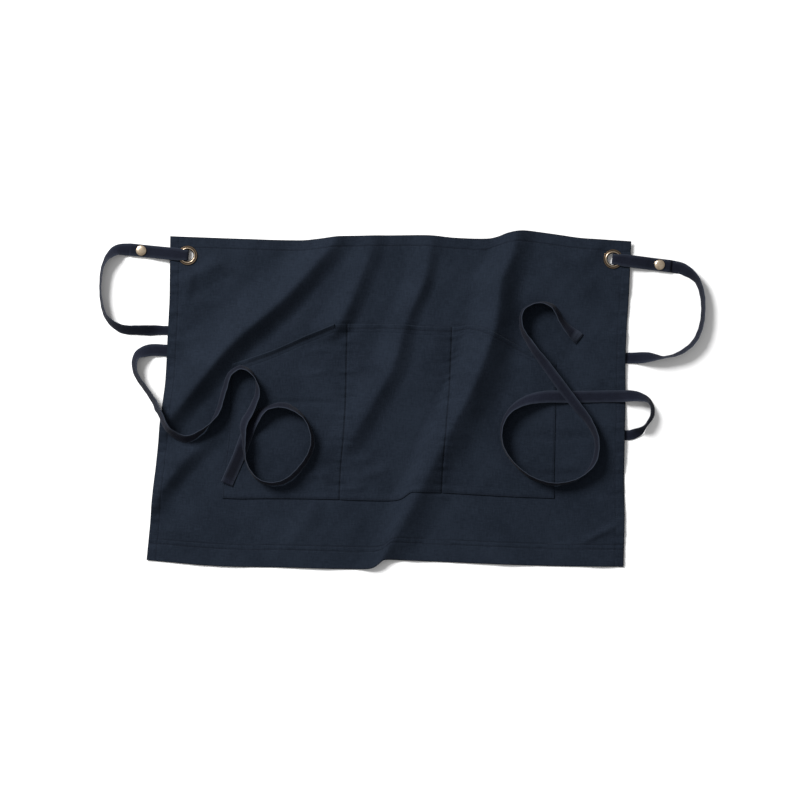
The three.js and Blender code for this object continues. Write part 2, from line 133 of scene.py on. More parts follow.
# How the panel lies. Columns: x as a share of the width, y of the height
corner_waist_left = (-0.457, 0.502)
corner_waist_right = (0.508, 0.486)
corner_bottom_left = (-0.507, -0.491)
corner_bottom_right = (0.492, -0.512)

# How far each edge leaves the straight line between its corners. Columns: share along, offset as a share
waist_edge = [
    [0, 0], [0.11, -0.004], [0.28, -0.008], [0.325, -0.002], [0.37, 0.006], [0.5, 0.011], [0.565, 0.0115],
    [0.62, 0.005], [0.688, 0.004], [0.71, 0.01], [0.732, 0.022], [0.758, 0.029], [0.782, 0.0285],
    [0.845, 0.0175], [0.89, 0.009], [0.935, 0.005], [1, 0],
]
bottom_edge = [
    [0, 0], [0.03, -0.004], [0.15, -0.016], [0.27, -0.017], [0.38, -0.019], [0.463, -0.018], [0.478, -0.0115],
    [0.487, -0.0015], [0.498, 0.0107], [0.53, 0.0104], [0.615, 0.007], [0.74, 0.002], [0.87, -0.001], [1, 0],
]
left_edge = [
    [0, 0], [0.2, 0.008], [0.32, 0.01], [0.445, 0.0118], [0.505, 0.0107], [0.6, 0.007], [0.72, 0.005],
    [0.845, 0.0027], [1, 0],
]
right_edge = [
    [0, 0], [0.18, -0.0025], [0.27, -0.005], [0.365, -0.006], [0.49, -0.004], [0.61, -0.004], [0.73, -0.003],
    [0.85, 0], [1, 0],
]

# Soft folds. Columns: down, across, height as a share of fold_height, left and right reach of fold_reach
folds = [
    [
        [0, 0.363, 0.35, 1, 0.7], [0.065, 0.325, 0.6, 1.2, 0.75], [0.19, 0.24, 0.85, 1.2, 0.75],
        [0.315, 0.145, 0.95, 1.2, 0.75], [0.437, 0.077, 0.9, 1.1, 0.75], [0.56, 0.022, 0.5, 1, 0.7],
        [0.64, 0, 0, 1, 0.7],
    ],
    [
        [0, 0.447, 0.2, 0.9, 0.6], [0.13, 0.413, 0.4, 0.9, 0.6], [0.235, 0.383, 0.5, 0.8, 0.6],
        [0.29, 0.365, 0.3, 0.8, 0.55], [0.32, 0.355, 0, 0.8, 0.5],
    ],
    [
        [0, 0.567, 0.12, 0.7, 0.45], [0.13, 0.552, 0.4, 0.7, 0.45], [0.258, 0.517, 0.42, 0.7, 0.5],
        [0.375, 0.496, 0.45, 0.8, 0.65], [0.495, 0.455, 0.45, 0.8, 0.65], [0.617, 0.409, 0.3, 0.8, 0.6],
        [0.69, 0.385, 0, 0.8, 0.6],
    ],
    [
        [0, 0.754, 0.45, 0.95, 0.8], [0.06, 0.745, 0.6, 0.95, 0.85], [0.155, 0.72, 0.85, 1, 0.9],
        [0.295, 0.711, 1.1, 1, 1.1], [0.45, 0.674, 1.15, 1, 1.35], [0.62, 0.62, 0.85, 0.95, 1.25],
        [0.713, 0.59, 0.65, 0.9, 1.1], [0.808, 0.558, 0.6, 0.85, 1.15], [0.9, 0.529, 0.52, 0.8, 1.1],
        [1, 0.49, 0.45, 0.8, 0.85],
    ],
    [
        [0.59, 0.12, 0, 0.8, 0.6], [0.664, 0.07, 0.4, 0.9, 0.6], [0.742, 0.032, 0.5, 0.9, 0.6],
        [0.81, 0.008, 0.4, 0.9, 0.6], [0.9, -0.02, 0, 0.9, 0.6],
    ],
]

# Small creases. Columns: across and down at both ends, height and half width in metres
creases = [
    [0.905, 0.93, 1.0, 0.86, 0.0019, 0.005],
    [0.06, 0.09, 0.13, 0.2, 0.0012, 0.009],
    [0.05, 0.1, 0.03, 0.22, 0.0012, 0.008],
    [0.08, 0.07, 0.2, 0.13, 0.001, 0.009],
    [0.94, 0.09, 0.88, 0.2, 0.0008, 0.009],
    [0.95, 0.1, 0.985, 0.22, 0.0009, 0.008],
    [0.92, 0.06, 0.84, 0.07, 0.0008, 0.01],
    [0.22, 0.5, 0.41, 0.505, -0.0009, 0.0035],
    [0.79, 0.61, 0.95, 0.6, -0.0012, 0.006],
    [0.8, 0.725, 0.92, 0.715, -0.0012, 0.006],
    [0.39, 0.69, 0.47, 0.66, 0.0009, 0.006],
    [0.38, 0.77, 0.46, 0.745, 0.0008, 0.006],
    [0.36, 0.78, 0.28, 0.96, 0.0022, 0.02],
    [0.0, 0.21, 0.14, 0.19, 0.0007, 0.008],
    [0.0, 0.33, 0.1, 0.3, 0.0008, 0.008],
    [0.4, 0.4, 0.47, 0.385, 0.0008, 0.006],
    [0.31, 0.725, 0.39, 0.715, 0.0013, 0.006],
    [0.5, 0.69, 0.42, 0.735, 0.0013, 0.008],
    [0, 0.9, 0.12, 0.905, 0.0006, 0.006],
    [0, 0.68, 0.06, 0.7, 0.0011, 0.006],
    [0.87, 0.05, 0.92, 0.12, 0.0007, 0.006],
    [0.645, 0.34, 0.69, 0.36, 0.001, 0.005],
    [0.645, 0.375, 0.685, 0.4, 0.001, 0.005],
    [0.64, 0.415, 0.68, 0.44, 0.0009, 0.005],
    [0.01, 0.15, 0.14, 0.05, 0.0013, 0.009],
    [0.03, 0.19, 0.16, 0.09, -0.0009, 0.009],
    [0.3, 0.35, 0.36, 0.345, 0.0008, 0.004],
    [0.3, 0.42, 0.36, 0.41, 0.0008, 0.004],
]

# Gentle waves of the whole cloth. Columns: how many, shortest and longest in metres, height
cloth_waves = [[9, 0.06, 0.17, 0.0009], [14, 0.016, 0.04, 0.00024]]

# Places where the panel lies over a hidden stretch of tape. Columns: across, down
tucks = [[0.026, 0.32], [0.97, 0.368], [0.97, 0.483], [0.97, 0.6]]

# Seams that divide the pocket patch. Columns: distance from the panel's middle at the top and at the bottom
pocket_seams = [[-0.08, -0.077], [0.086, 0.084]]

# Routes of the tapes from beyond the snap to the loose end, in metres from the eyelet's centre.
# Columns: x, y, roll in degrees, width as a share of the tape's, extra height, 1 where nothing lies under it
left_route = [
    [-0.109, 0.008, 30, 1, 0, 0], [-0.127, -0.009, 70, 1, 0, 0], [-0.134, -0.052, 78, 1, 0, 0],
    [-0.125, -0.094, 70, 1, 0, 0], [-0.103, -0.112, 48, 1, 0, 1], [-0.066, -0.115, 38, 1, 0, 1],
    [-0.039, -0.115, 0, 0.72, 0, 1], [-0.008, -0.118, 0, 0.8, 0, 1], [0.002, -0.131, 0, 0.75, 0, 1],
    [-0.008, -0.144, 0, 0.85, 0, 1], [-0.029, -0.146, 0, 0.95, 0, 1], [-0.06, -0.146, 12, 1, 0, 1],
    [-0.079, -0.156, 55, 1, 0, 1], [-0.08, -0.18, 66, 1, 0, 0], [-0.06, -0.211, 64, 1, 0, 0],
    [-0.043, -0.239, 64, 1, 0, 0], [-0.028, -0.268, 63, 1, 0, 0], [-0.002, -0.282, 54, 1, 0, 0],
    [0.023, -0.27, 75, 1, 0, 0], [0.045, -0.243, 113, 1, 0, 0], [0.057, -0.206, 116, 1, 0, 0],
    [0.066, -0.182, 112, 1, 0, 0], [0.083, -0.172, 108, 1, 0, 0], [0.101, -0.183, 98, 1, 0, 0],
    [0.108, -0.209, 65, 1, 0, 0], [0.099, -0.236, 56, 1, 0.001, 0], [0.087, -0.259, 50, 1, 0.003, 0],
    [0.087, -0.284, 72, 1, 0.003, 0], [0.091, -0.319, 84, 1, 0.001, 0], [0.111, -0.346, 78, 1, 0, 0],
    [0.142, -0.35, 70, 1, 0, 0], [0.171, -0.33, 68, 1, 0, 0], [0.192, -0.291, 74, 1, 0, 0],
    [0.182, -0.253, 86, 1, 0, 0], [0.152, -0.231, 64, 1, 0, 0], [0.122, -0.235, 74, 1, 0, 0],
    [0.101, -0.256, 30, 1, 0, 0], [0.089, -0.281, 0, 1, 0, 0], [0.079, -0.308, 0, 1, 0, 0],
    [0.06, -0.351, 0, 1, 0, 0],
]
right_route = [
    [0.109, -0.016, 30, 1, 0, 0], [0.13, -0.035, 70, 1, 0, 0], [0.138, -0.078, 78, 1, 0, 0],
    [0.128, -0.121, 75, 1, 0, 0], [0.105, -0.143, 74, 1, 0, 1], [0.078, -0.151, 84, 1, 0, 1],
    [0.056, -0.151, 40, 1, 0, 1], [0.038, -0.152, 4, 0.92, 0, 1], [0.013, -0.153, 0, 0.85, 0, 1],
    [-0.011, -0.16, 0, 0.85, 0, 1], [-0.022, -0.186, 0, 0.85, 0, 1], [-0.022, -0.238, 0, 0.85, 0, 1],
    [-0.011, -0.264, 0, 0.85, 0, 1], [0.024, -0.271, 0, 0.8, 0, 1], [0.036, -0.267, 24, 0.85, 0, 1],
    [0.048, -0.258, 76, 1, 0, 1], [0.06, -0.239, 64, 1, 0, 0], [0.056, -0.219, 72, 1, 0, 0],
    [0.035, -0.211, 34, 1, 0, 0], [0.008, -0.211, 0, 0.95, 0, 0], [-0.062, -0.212, 0, 0.95, 0, 0],
    [-0.105, -0.212, 14, 1, 0, 0], [-0.135, -0.218, 45, 1, 0, 0], [-0.16, -0.234, 72, 1, 0, 0],
    [-0.172, -0.26, 84, 1, 0, 0], [-0.169, -0.289, 88, 1, 0, 0], [-0.15, -0.317, 84, 1, 0, 0],
    [-0.122, -0.338, 76, 1, 0, 0], [-0.088, -0.346, 76, 1, 0, 0], [-0.052, -0.336, 84, 1, 0, 0],
    [-0.03, -0.311, 108, 1, 0, 0], [-0.026, -0.278, 108, 1, 0, 0], [-0.038, -0.25, 122, 1, 0, 0],
    [-0.059, -0.223, 138, 1, 0.003, 0], [-0.082, -0.193, 142, 1, 0.003, 0], [-0.104, -0.163, 136, 1, 0, 0],
    [-0.127, -0.132, 120, 1, 0, 0], [-0.142, -0.102, 100, 1, 0, 0], [-0.139, -0.079, 96, 1, 0, 0],
    [-0.116, -0.067, 94, 1, 0, 0], [-0.093, -0.073, 112, 1, 0, 0], [-0.079, -0.096, 118, 1, 0, 0],
    [-0.067, -0.11, 136, 1, 0, 0], [-0.052, -0.123, 178, 1, 0, 0],
]
tape_slant = {"left": math.radians(6), "right": math.radians(-7)}
outward_side = {"left": -1, "right": 1}


def mix(a, b, share):
    """The value a share of the way from a to b."""
    return a + (b - a) * share


def smooth_step(value, low, high):
    """0 below low, 1 above high, smooth between."""
    t = np.clip((value - low) / (high - low), 0, 1)
    return t * t * (3 - 2 * t)


def unit(rows):
    """Rows of vectors, each made 1 long."""
    return rows / np.linalg.norm(rows, axis=1)[:, None]


def distances_along(points):
    """How far along a line of points each of them is."""
    return np.concatenate([[0], np.cumsum(np.linalg.norm(np.diff(points, axis=0), axis=1))])


def along(table, keys, column):
    """Smooth interpolation of a table's column over its first column."""
    rows = np.array(table, dtype=float)
    x, y = rows[:, 0], rows[:, column]
    last = len(x) - 1
    low_row = np.maximum(np.arange(last + 1) - 1, 0)
    high_row = np.minimum(np.arange(last + 1) + 1, last)
    slopes = (y[high_row] - y[low_row]) / (x[high_row] - x[low_row])
    keys = np.clip(np.asarray(keys, dtype=float), x[0], x[-1])
    row = np.clip(np.searchsorted(x, keys, side="right") - 1, 0, last - 1)
    span = x[row + 1] - x[row]
    t = (keys - x[row]) / span
    ease = t * t * (3 - 2 * t)
    bend = span * t * (1 - t) * ((1 - t) * slopes[row] - t * slopes[row + 1])
    return y[row] * (1 - ease) + y[row + 1] * ease + bend


def fold_facts(table, down):
    """A fold's crest across, height, left and right reach and slant factor at shares down the panel."""
    crest = along(table, down, 1)
    inside = (down >= table[0][0]) & (down <= table[-1][0])
    height = fold_height * np.maximum(along(table, down, 2), 0) * inside
    probe = 0.01
    drift = (along(table, down + probe, 1) - along(table, down - probe, 1)) / (2 * probe)
    slant = np.cos(np.arctan(drift * panel_width / panel_height))
    return crest, height, fold_reach * along(table, down, 3), fold_reach * along(table, down, 4), slant


def drawn_in(across, down):
    """Shares across the panel as it lies, with each fold taking up its own length of cloth."""
    facts = [fold_facts(table, down) for table in folds]
    share = across.copy()
    for _ in range(8):
        pulled = across.copy()
        for crest, height, left, right, slant in facts:
            taken = np.pi ** 2 * height ** 2 / (4 * (left + right)) / panel_width
            half = 0.5 * (left + right) / panel_width / slant
            pulled += taken * (across - smooth_step(share, crest - half, crest + half))
        share = pulled
    return share


def plan(across, down):
    """Where points of the flat panel lie, from their shares across and down."""
    share = drawn_in(across, down)
    top_x = mix(corner_waist_left[0], corner_waist_right[0], share)
    bottom_x = mix(corner_bottom_left[0], corner_bottom_right[0], share)
    sides = mix(along(left_edge, down, 1), along(right_edge, down, 1), share)
    top_y = mix(corner_waist_left[1], corner_waist_right[1], share)
    bottom_y = mix(corner_bottom_left[1], corner_bottom_right[1], share)
    lean = fold_lean * 4 * share * (1 - share)
    waist = along(waist_edge, share + lean * down, 1)
    hem = along(bottom_edge, share - lean * (1 - down), 1)
    x = panel_width * (mix(top_x, bottom_x, down) + sides)
    y = panel_height * (mix(top_y, bottom_y, down) + mix(waist, hem, down))
    return x, y, share


def waves(across, down, count, shortest, longest, height):
    """Seeded gentle waves in all directions, for cloth that never lies quite flat."""
    local = np.random.default_rng(count)
    total = np.zeros_like(across)
    for _ in range(count):
        length = local.uniform(shortest, longest)
        angle = local.uniform(0, math.pi)
        phase = local.uniform(0, 2 * math.pi)
        way = across * panel_width * math.cos(angle) + down * panel_height * math.sin(angle)
        total += np.sin(2 * math.pi * way / length + phase)
    return height * total / math.sqrt(count)


def pucker(distance, way, spread, height, seed):
    """Small ripples that run off a line of stitches."""
    local = np.random.default_rng(seed)
    total = np.zeros_like(way)
    for length in (0.011, 0.016, 0.023, 0.034):
        total += np.sin(2 * math.pi * way / length + local.uniform(0, 2 * math.pi))
    return height * total / 2 * np.exp(-np.abs(distance) / spread)


def groove(distance, depth, half_width):
    """A shallow furrow where stitches pull the cloth down."""
    return -depth * np.exp(-(distance / half_width) ** 2)


def seam_place(seam, down):
    """Share across of a pocket seam at shares down the panel."""
    bottom = 1 - pocket_rise / panel_height
    top = bottom - pocket_height / panel_height
    return 0.5 + mix(seam[0], seam[1], (down - top) / (bottom - top)) / panel_width


def rise(across, down, share):
    """How far the folds, the eyelets and hidden stretches of tape lift the panel."""
    total = np.zeros_like(across)
    for table in folds:
        crest, height, left, right, slant = fold_facts(table, down)
        distance = (share - crest) * panel_width * slant
        reach = np.where(distance < 0, left * left_widen, right * right_widen)
        flank = np.where(distance < 0, left_flank, right_flank)
        away = np.minimum((np.hypot(distance, crest_round) - crest_round) / reach, 1)
        total += fold_draw * height * (1 - away) ** 2 * (1 + flank * away)
    lifted = np.zeros_like(across)
    for side in (eyelet_inset, panel_width - eyelet_inset):
        distance = np.hypot(across * panel_width - side, down * panel_height - eyelet_drop)
        level = eyelet_outer / 2 + eyelet_level
        lifted = np.maximum(lifted, eyelet_lift * (1 - smooth_step(distance, level, level + eyelet_ramp)))
    for tuck_across, tuck_down in tucks:
        distance = np.hypot((across - tuck_across) * panel_width, (down - tuck_down) * panel_height)
        level = 2 * tape_width
        lifted = np.maximum(lifted, tuck_lift * (1 - smooth_step(distance, level, level + tuck_ramp)))
    return total + lifted


def near_eyelet(across, down):
    """1 where the cloth is held flat under an eyelet's flange, falling to 0 around it."""
    held = np.zeros_like(across)
    for side in (eyelet_inset, panel_width - eyelet_inset):
        distance = np.hypot(across * panel_width - side, down * panel_height - eyelet_drop)
        held = np.maximum(held, 1 - smooth_step(distance, eyelet_outer * 0.55, eyelet_outer))
    return held


def relief(across, down):
    """Fine relief of the cloth's face: waves, creases, stitched furrows and their puckers."""
    x = across * panel_width
    y = down * panel_height
    total = sum(waves(across, down, *row) for row in cloth_waves)
    for start_across, start_down, end_across, end_down, height, half in creases:
        start = (start_across * panel_width, start_down * panel_height)
        step = (end_across * panel_width - start[0], end_down * panel_height - start[1])
        length = math.hypot(*step)
        place = ((x - start[0]) * step[0] + (y - start[1]) * step[1]) / length ** 2
        away = ((x - start[0]) * step[1] - (y - start[1]) * step[0]) / length
        taper = smooth_step(place, -0.05, 0.3) * (1 - smooth_step(place, 0.6, 1.05))
        total += 1.5 * height * taper * np.exp(-(away / half) ** 2)
    strong_pucker, faint_pucker = 0.0009, 0.0002
    for from_edge, seed in ((x, 1), (panel_width - x, 2)):
        total += pucker(from_edge - side_hem * 0.6, y, 0.008, strong_pucker, seed)
        total += groove(from_edge - side_hem, 0.0004, furrow_width)
    for line, spread, seed in (
        (y - waist_hem, 0.005, 3),
        (y - (panel_height - bottom_hem), 0.007, 4),
        (y - (panel_height - bottom_hem + stitch_gap), 0.004, 5),
    ):
        total += pucker(line, x, spread, faint_pucker, seed) + groove(line, 0.0005, furrow_width)
    bottom = 1 - pocket_rise / panel_height
    top = bottom - pocket_height / panel_height
    fade = 0.04
    on_patch = smooth_step(down, top - fade, top) * (1 - smooth_step(down, bottom, bottom + fade))
    for seam, seed in zip(pocket_seams, (6, 7)):
        distance = x - seam_place(seam, down) * panel_width
        total += on_patch * pucker(distance, y, 0.013, strong_pucker, seed)
    return (total + cloth_rest) * (1 - near_eyelet(across, down))


def edge_round(distance):
    """How far the cloth's face drops over a turned edge."""
    return edge_drop * (1 - np.sqrt(1 - (1 - np.clip(distance / edge_reach, 0, 1)) ** 2))


def edge_distance(across, down):
    """Distance inside the panel's cut outline."""
    return np.minimum(np.minimum(across, 1 - across) * panel_width, np.minimum(down, 1 - down) * panel_height)


def inside_hems(across, down):
    """1 on the single cloth, 0 on the folded hems."""
    single = np.ones_like(across)
    for from_edge, hem in (
        (across * panel_width, side_hem),
        ((1 - across) * panel_width, side_hem),
        (down * panel_height, waist_hem),
        ((1 - down) * panel_height, bottom_hem),
    ):
        single = single * smooth_step(from_edge, hem - hem_ramp_before, hem + hem_ramp_after)
    return single


def cloth_wall(across, down):
    """Thickness of the panel: less on the single cloth and at the turned edge."""
    wall = mix(hem_thickness, cloth_layer, inside_hems(across, down))
    return wall - edge_round(edge_distance(across, down))


def face(across, down):
    """The panel's face as it lies: x, y and z of points given by their shares across and down."""
    x, y, share = plan(across, down)
    lying = rise(across, down, share)
    wall = cloth_wall(across, down)
    z = lying + hem_thickness + relief(across, down) - hem_step * inside_hems(across, down)
    z -= edge_round(edge_distance(across, down))
    return x + origin_shift[0], y + origin_shift[1], np.maximum(z, wall + floor_clearance)


def fitted_lines(length, marks, step, low=0.0, high=None):
    """Grid lines a step apart, gathered close to each mark so that it can be sharp."""
    high = length if high is None else high
    near = (-0.0022, -0.0012, -0.0006, 0, 0.0006, 0.0012, 0.0022)
    clear = 0.0032
    fine = {round(mark + offset, 6) for mark in marks for offset in near if low <= mark + offset <= high}
    count = max(1, round((high - low) / step))
    coarse = [mix(low, high, i / count) for i in range(count + 1)]
    kept = {round(v, 6) for v in coarse if all(abs(v - mark) > clear for mark in marks)}
    return np.array(sorted(fine | kept | {round(low, 6), round(high, 6)}))


def cloth_grid(columns, rows, place):
    """A grid of cloth whose points place() puts where they lie, with flat metres as its UV map."""
    grid = bmesh.new()
    bmesh.ops.create_grid(grid, x_segments=len(columns) - 1, y_segments=len(rows) - 1, size=0.5)
    points = np.array([v.co for v in grid.verts])
    column = np.rint((points[:, 0] + 0.5) * (len(columns) - 1)).astype(int)
    row = np.rint((0.5 - points[:, 1]) * (len(rows) - 1)).astype(int)
    flat_x, flat_y, x, y, z = place(columns[column], rows[row])
    layer = grid.loops.layers.uv.new("flat")
    for vert, px, py, pz in zip(grid.verts, x, y, z):
        vert.co = (px, py, pz)
    for piece in grid.faces:
        for loop in piece.loops:
            loop[layer].uv = (flat_x[loop.vert.index], -flat_y[loop.vert.index])
    return grid


def finish_mesh(name, shape, material, smooth=True):
    """A new object from a bmesh."""
    mesh = bpy.data.meshes.new(name)
    shape.to_mesh(mesh)
    shape.free()
    for piece in mesh.polygons:
        piece.use_smooth = smooth
    made = bpy.data.objects.new(name, mesh)
    bpy.context.scene.collection.objects.link(made)
    mesh.materials.append(material)
    return made


def line_share(distance, half_width):
    """1 on a line, falling to 0 at a few half widths from it."""
    return np.exp(-(distance / half_width) ** 2)


def paint(piece, name, shares):
    """Stores a mask on a piece's points for its material."""
    layer = piece.data.attributes.new(name, "FLOAT", "POINT")
    layer.data.foreach_set("value", np.clip(shares, 0, 1).astype(np.float32))


def flat_places(grid):
    """The flat places of a grid's points, from its UV map."""
    grid.verts.index_update()
    layer = grid.loops.layers.uv["flat"]
    flat = np.zeros((len(grid.verts), 2))
    for piece in grid.faces:
        for loop in piece.loops:
            flat[loop.vert.index] = loop[layer].uv
    return flat[:, 0], -flat[:, 1]


def thicken(piece, thickness, shares):
    """Gives a sheet its wall, downwards from its face, with a share of the thickness at each point."""
    group = piece.vertex_groups.new(name="wall")
    for index, share in enumerate(shares):
        group.add([index], float(share), "REPLACE")
    wall = piece.modifiers.new("wall", "SOLIDIFY")
    wall.thickness = thickness
    wall.offset = -1
    wall.use_rim = True
    wall.vertex_group = group.name


def face_tree(piece):
    """A tree of a piece's own faces, for laying the tapes on it."""
    shape = bmesh.new()
    shape.from_mesh(piece.data)
    tree = BVHTree.FromBMesh(shape)
    shape.free()
    return tree


# Materials
def group_socket(group, name, kind, way, value=None):
    """Adds a named input or output to a node group."""
    socket = group.interface.new_socket(name=name, in_out=way, socket_type=kind)
    if value is not None:
        socket.default_value = value


def math_node(tree, operation, first, second=None, third=None, clamp=False):
    """A Math node's value, with inputs that are sockets or numbers."""
    node = tree.nodes.new("ShaderNodeMath")
    node.operation = operation
    node.use_clamp = clamp
    for slot, value in enumerate((first, second, third)):
        if value is None:
            continue
        if isinstance(value, (int, float)):
            node.inputs[slot].default_value = value
        else:
            tree.links.new(value, node.inputs[slot])
    return node.outputs[0]


def noise_node(tree, vector, scale, detail=2.0, roughness=0.5):
    """A Noise Texture's value at a scale per metre."""
    node = tree.nodes.new("ShaderNodeTexNoise")
    node.inputs["Detail"].default_value = detail
    node.inputs["Roughness"].default_value = roughness
    tree.links.new(vector, node.inputs["Vector"])
    if isinstance(scale, (int, float)):
        node.inputs["Scale"].default_value = scale
    else:
        tree.links.new(scale, node.inputs["Scale"])
    return node.outputs["Fac"]


def spread_node(tree, value, low, high):
    """A value spread so that low becomes 0 and high becomes 1."""
    node = tree.nodes.new("ShaderNodeMapRange")
    node.inputs["From Min"].default_value = low
    node.inputs["From Max"].default_value = high
    tree.links.new(value, node.inputs["Value"])
    return node.outputs["Result"]


def stretched(tree, vector, scale):
    """A vector scaled by its own amount along each axis."""
    node = tree.nodes.new("ShaderNodeMapping")
    node.inputs["Scale"].default_value = scale
    tree.links.new(vector, node.inputs["Vector"])
    return node.outputs["Vector"]


def mask_node(tree, name):
    """A mask that paint() stored on a piece's points."""
    node = tree.nodes.new("ShaderNodeAttribute")
    node.attribute_name = name
    return node.outputs["Fac"]


def raise_surface(tree, shader, height, strength, distance):
    """Lets a height bend a shader's normals."""
    node = tree.nodes.new("ShaderNodeBump")
    node.inputs["Strength"].default_value = strength
    node.inputs["Distance"].default_value = distance
    tree.links.new(height, node.inputs["Height"])
    tree.links.new(node.outputs["Normal"], shader.inputs["Normal"])


def make_weave_group():
    """Yarns of a woven cloth from flat coordinates in metres: height, and how deep between the yarns."""
    group = bpy.data.node_groups.new("woven_yarns", "ShaderNodeTree")
    group_socket(group, "Flat", "NodeSocketVector", "INPUT")
    group_socket(group, "Yarns per metre", "NodeSocketFloat", "INPUT", 1500.0)
    group_socket(group, "Twill slant", "NodeSocketFloat", "INPUT", 1.0)
    group_socket(group, "Slub", "NodeSocketFloat", "INPUT", 0.35)
    group_socket(group, "Height", "NodeSocketFloat", "OUTPUT")
    group_socket(group, "Valley", "NodeSocketFloat", "OUTPUT")
    start = group.nodes.new("NodeGroupInput")
    end = group.nodes.new("NodeGroupOutput")
    split = group.nodes.new("ShaderNodeSeparateXYZ")
    group.links.new(start.outputs["Flat"], split.inputs[0])
    across, down = split.outputs["X"], split.outputs["Y"]
    turn = math_node(group, "MULTIPLY", start.outputs["Yarns per metre"], 2 * math.pi)
    slant = math_node(group, "MULTIPLY", down, start.outputs["Twill slant"])
    slanted = math_node(group, "ADD", across, slant)
    wobble = noise_node(group, start.outputs["Flat"], 220.0, 1.0)
    drift = math_node(group, "MULTIPLY", wobble, 1.5)
    rib_turns = math_node(group, "MULTIPLY", slanted, turn)
    ribs = math_node(group, "SINE", math_node(group, "ADD", rib_turns, drift))
    yarn_turns = math_node(group, "MULTIPLY", across, turn)
    yarns = math_node(group, "SINE", math_node(group, "MULTIPLY", yarn_turns, 2.0))
    slub = noise_node(group, start.outputs["Flat"], 900.0, 2.0)
    uneven = math_node(group, "MULTIPLY", slub, start.outputs["Slub"])
    raised = math_node(group, "ADD", math_node(group, "MULTIPLY", ribs, 0.35), 0.5)
    raised = math_node(group, "ADD", raised, math_node(group, "MULTIPLY", yarns, 0.12))
    height = math_node(group, "ADD", raised, uneven)
    group.links.new(height, end.inputs["Height"])
    valley = math_node(group, "SUBTRACT", 1.0, raised, clamp=True)
    group.links.new(valley, end.inputs["Valley"])
    return group


def make_fade_group():
    """Wear of a dyed cloth: a mask of faded patches and rubbed flecks."""
    group = bpy.data.node_groups.new("dye_fade", "ShaderNodeTree")
    group_socket(group, "Flat", "NodeSocketVector", "INPUT")
    group_socket(group, "Patch", "NodeSocketFloat", "INPUT", 14.0)
    group_socket(group, "Fleck", "NodeSocketFloat", "INPUT", 320.0)
    group_socket(group, "Mask", "NodeSocketFloat", "OUTPUT")
    start = group.nodes.new("NodeGroupInput")
    end = group.nodes.new("NodeGroupOutput")
    patch = noise_node(group, start.outputs["Flat"], start.outputs["Patch"], 3.0)
    fleck = noise_node(group, start.outputs["Flat"], start.outputs["Fleck"], 3.0, 0.65)
    streaks = []
    for scale in ((1.0, 11.0, 1.0), (11.0, 1.0, 1.0)):
        streaks.append(noise_node(group, stretched(group, start.outputs["Flat"], scale), 75.0, 2.0, 0.6))
    slubs = math_node(group, "MULTIPLY", math_node(group, "ADD", *streaks), 0.28)
    both = math_node(group, "ADD", math_node(group, "MULTIPLY", patch, 0.24),
                     math_node(group, "MULTIPLY", fleck, 0.2))
    both = math_node(group, "ADD", both, slubs)
    group.links.new(spread_node(group, both, 0.43, 0.57), end.inputs["Mask"])
    return group


def make_patina_group():
    """Tarnish of old brass in the model's own coordinates: a mask, and fine scratches as height."""
    group = bpy.data.node_groups.new("brass_patina", "ShaderNodeTree")
    group_socket(group, "Place", "NodeSocketVector", "INPUT")
    group_socket(group, "Tarnish", "NodeSocketFloat", "OUTPUT")
    group_socket(group, "Scratches", "NodeSocketFloat", "OUTPUT")
    start = group.nodes.new("NodeGroupInput")
    end = group.nodes.new("NodeGroupOutput")
    cloud = noise_node(group, start.outputs["Place"], 260.0, 4.0, 0.6)
    group.links.new(spread_node(group, cloud, 0.35, 0.7), end.inputs["Tarnish"])
    drawn = stretched(group, start.outputs["Place"], (1.0, 9.0, 1.0))
    group.links.new(noise_node(group, drawn, 700.0, 3.0), end.inputs["Scratches"])
    return group


def new_material(name):
    """A material, its tree and its Principled shader."""
    material = bpy.data.materials.new(name)
    material.use_nodes = True
    tree = material.node_tree
    shader = tree.nodes["Principled BSDF"]
    return material, tree, shader


def place_group(tree, group, flat, settings):
    """Places a node group in a material with its own values."""
    node = tree.nodes.new("ShaderNodeGroup")
    node.node_tree = group
    for name, value in settings.items():
        node.inputs[name].default_value = value
    tree.links.new(flat, node.inputs[0])
    return node


def colour_mix(tree, factor, first, second, blend="MIX"):
    """A colour between two, by a factor socket, or the first darkened by the second."""
    node = tree.nodes.new("ShaderNodeMix")
    node.data_type = "RGBA"
    node.blend_type = blend
    tree.links.new(factor, node.inputs[0])
    for slot, value in ((6, first), (7, second)):
        if isinstance(value, tuple):
            node.inputs[slot].default_value = value
        else:
            tree.links.new(value, node.inputs[slot])
    return node.outputs[2]


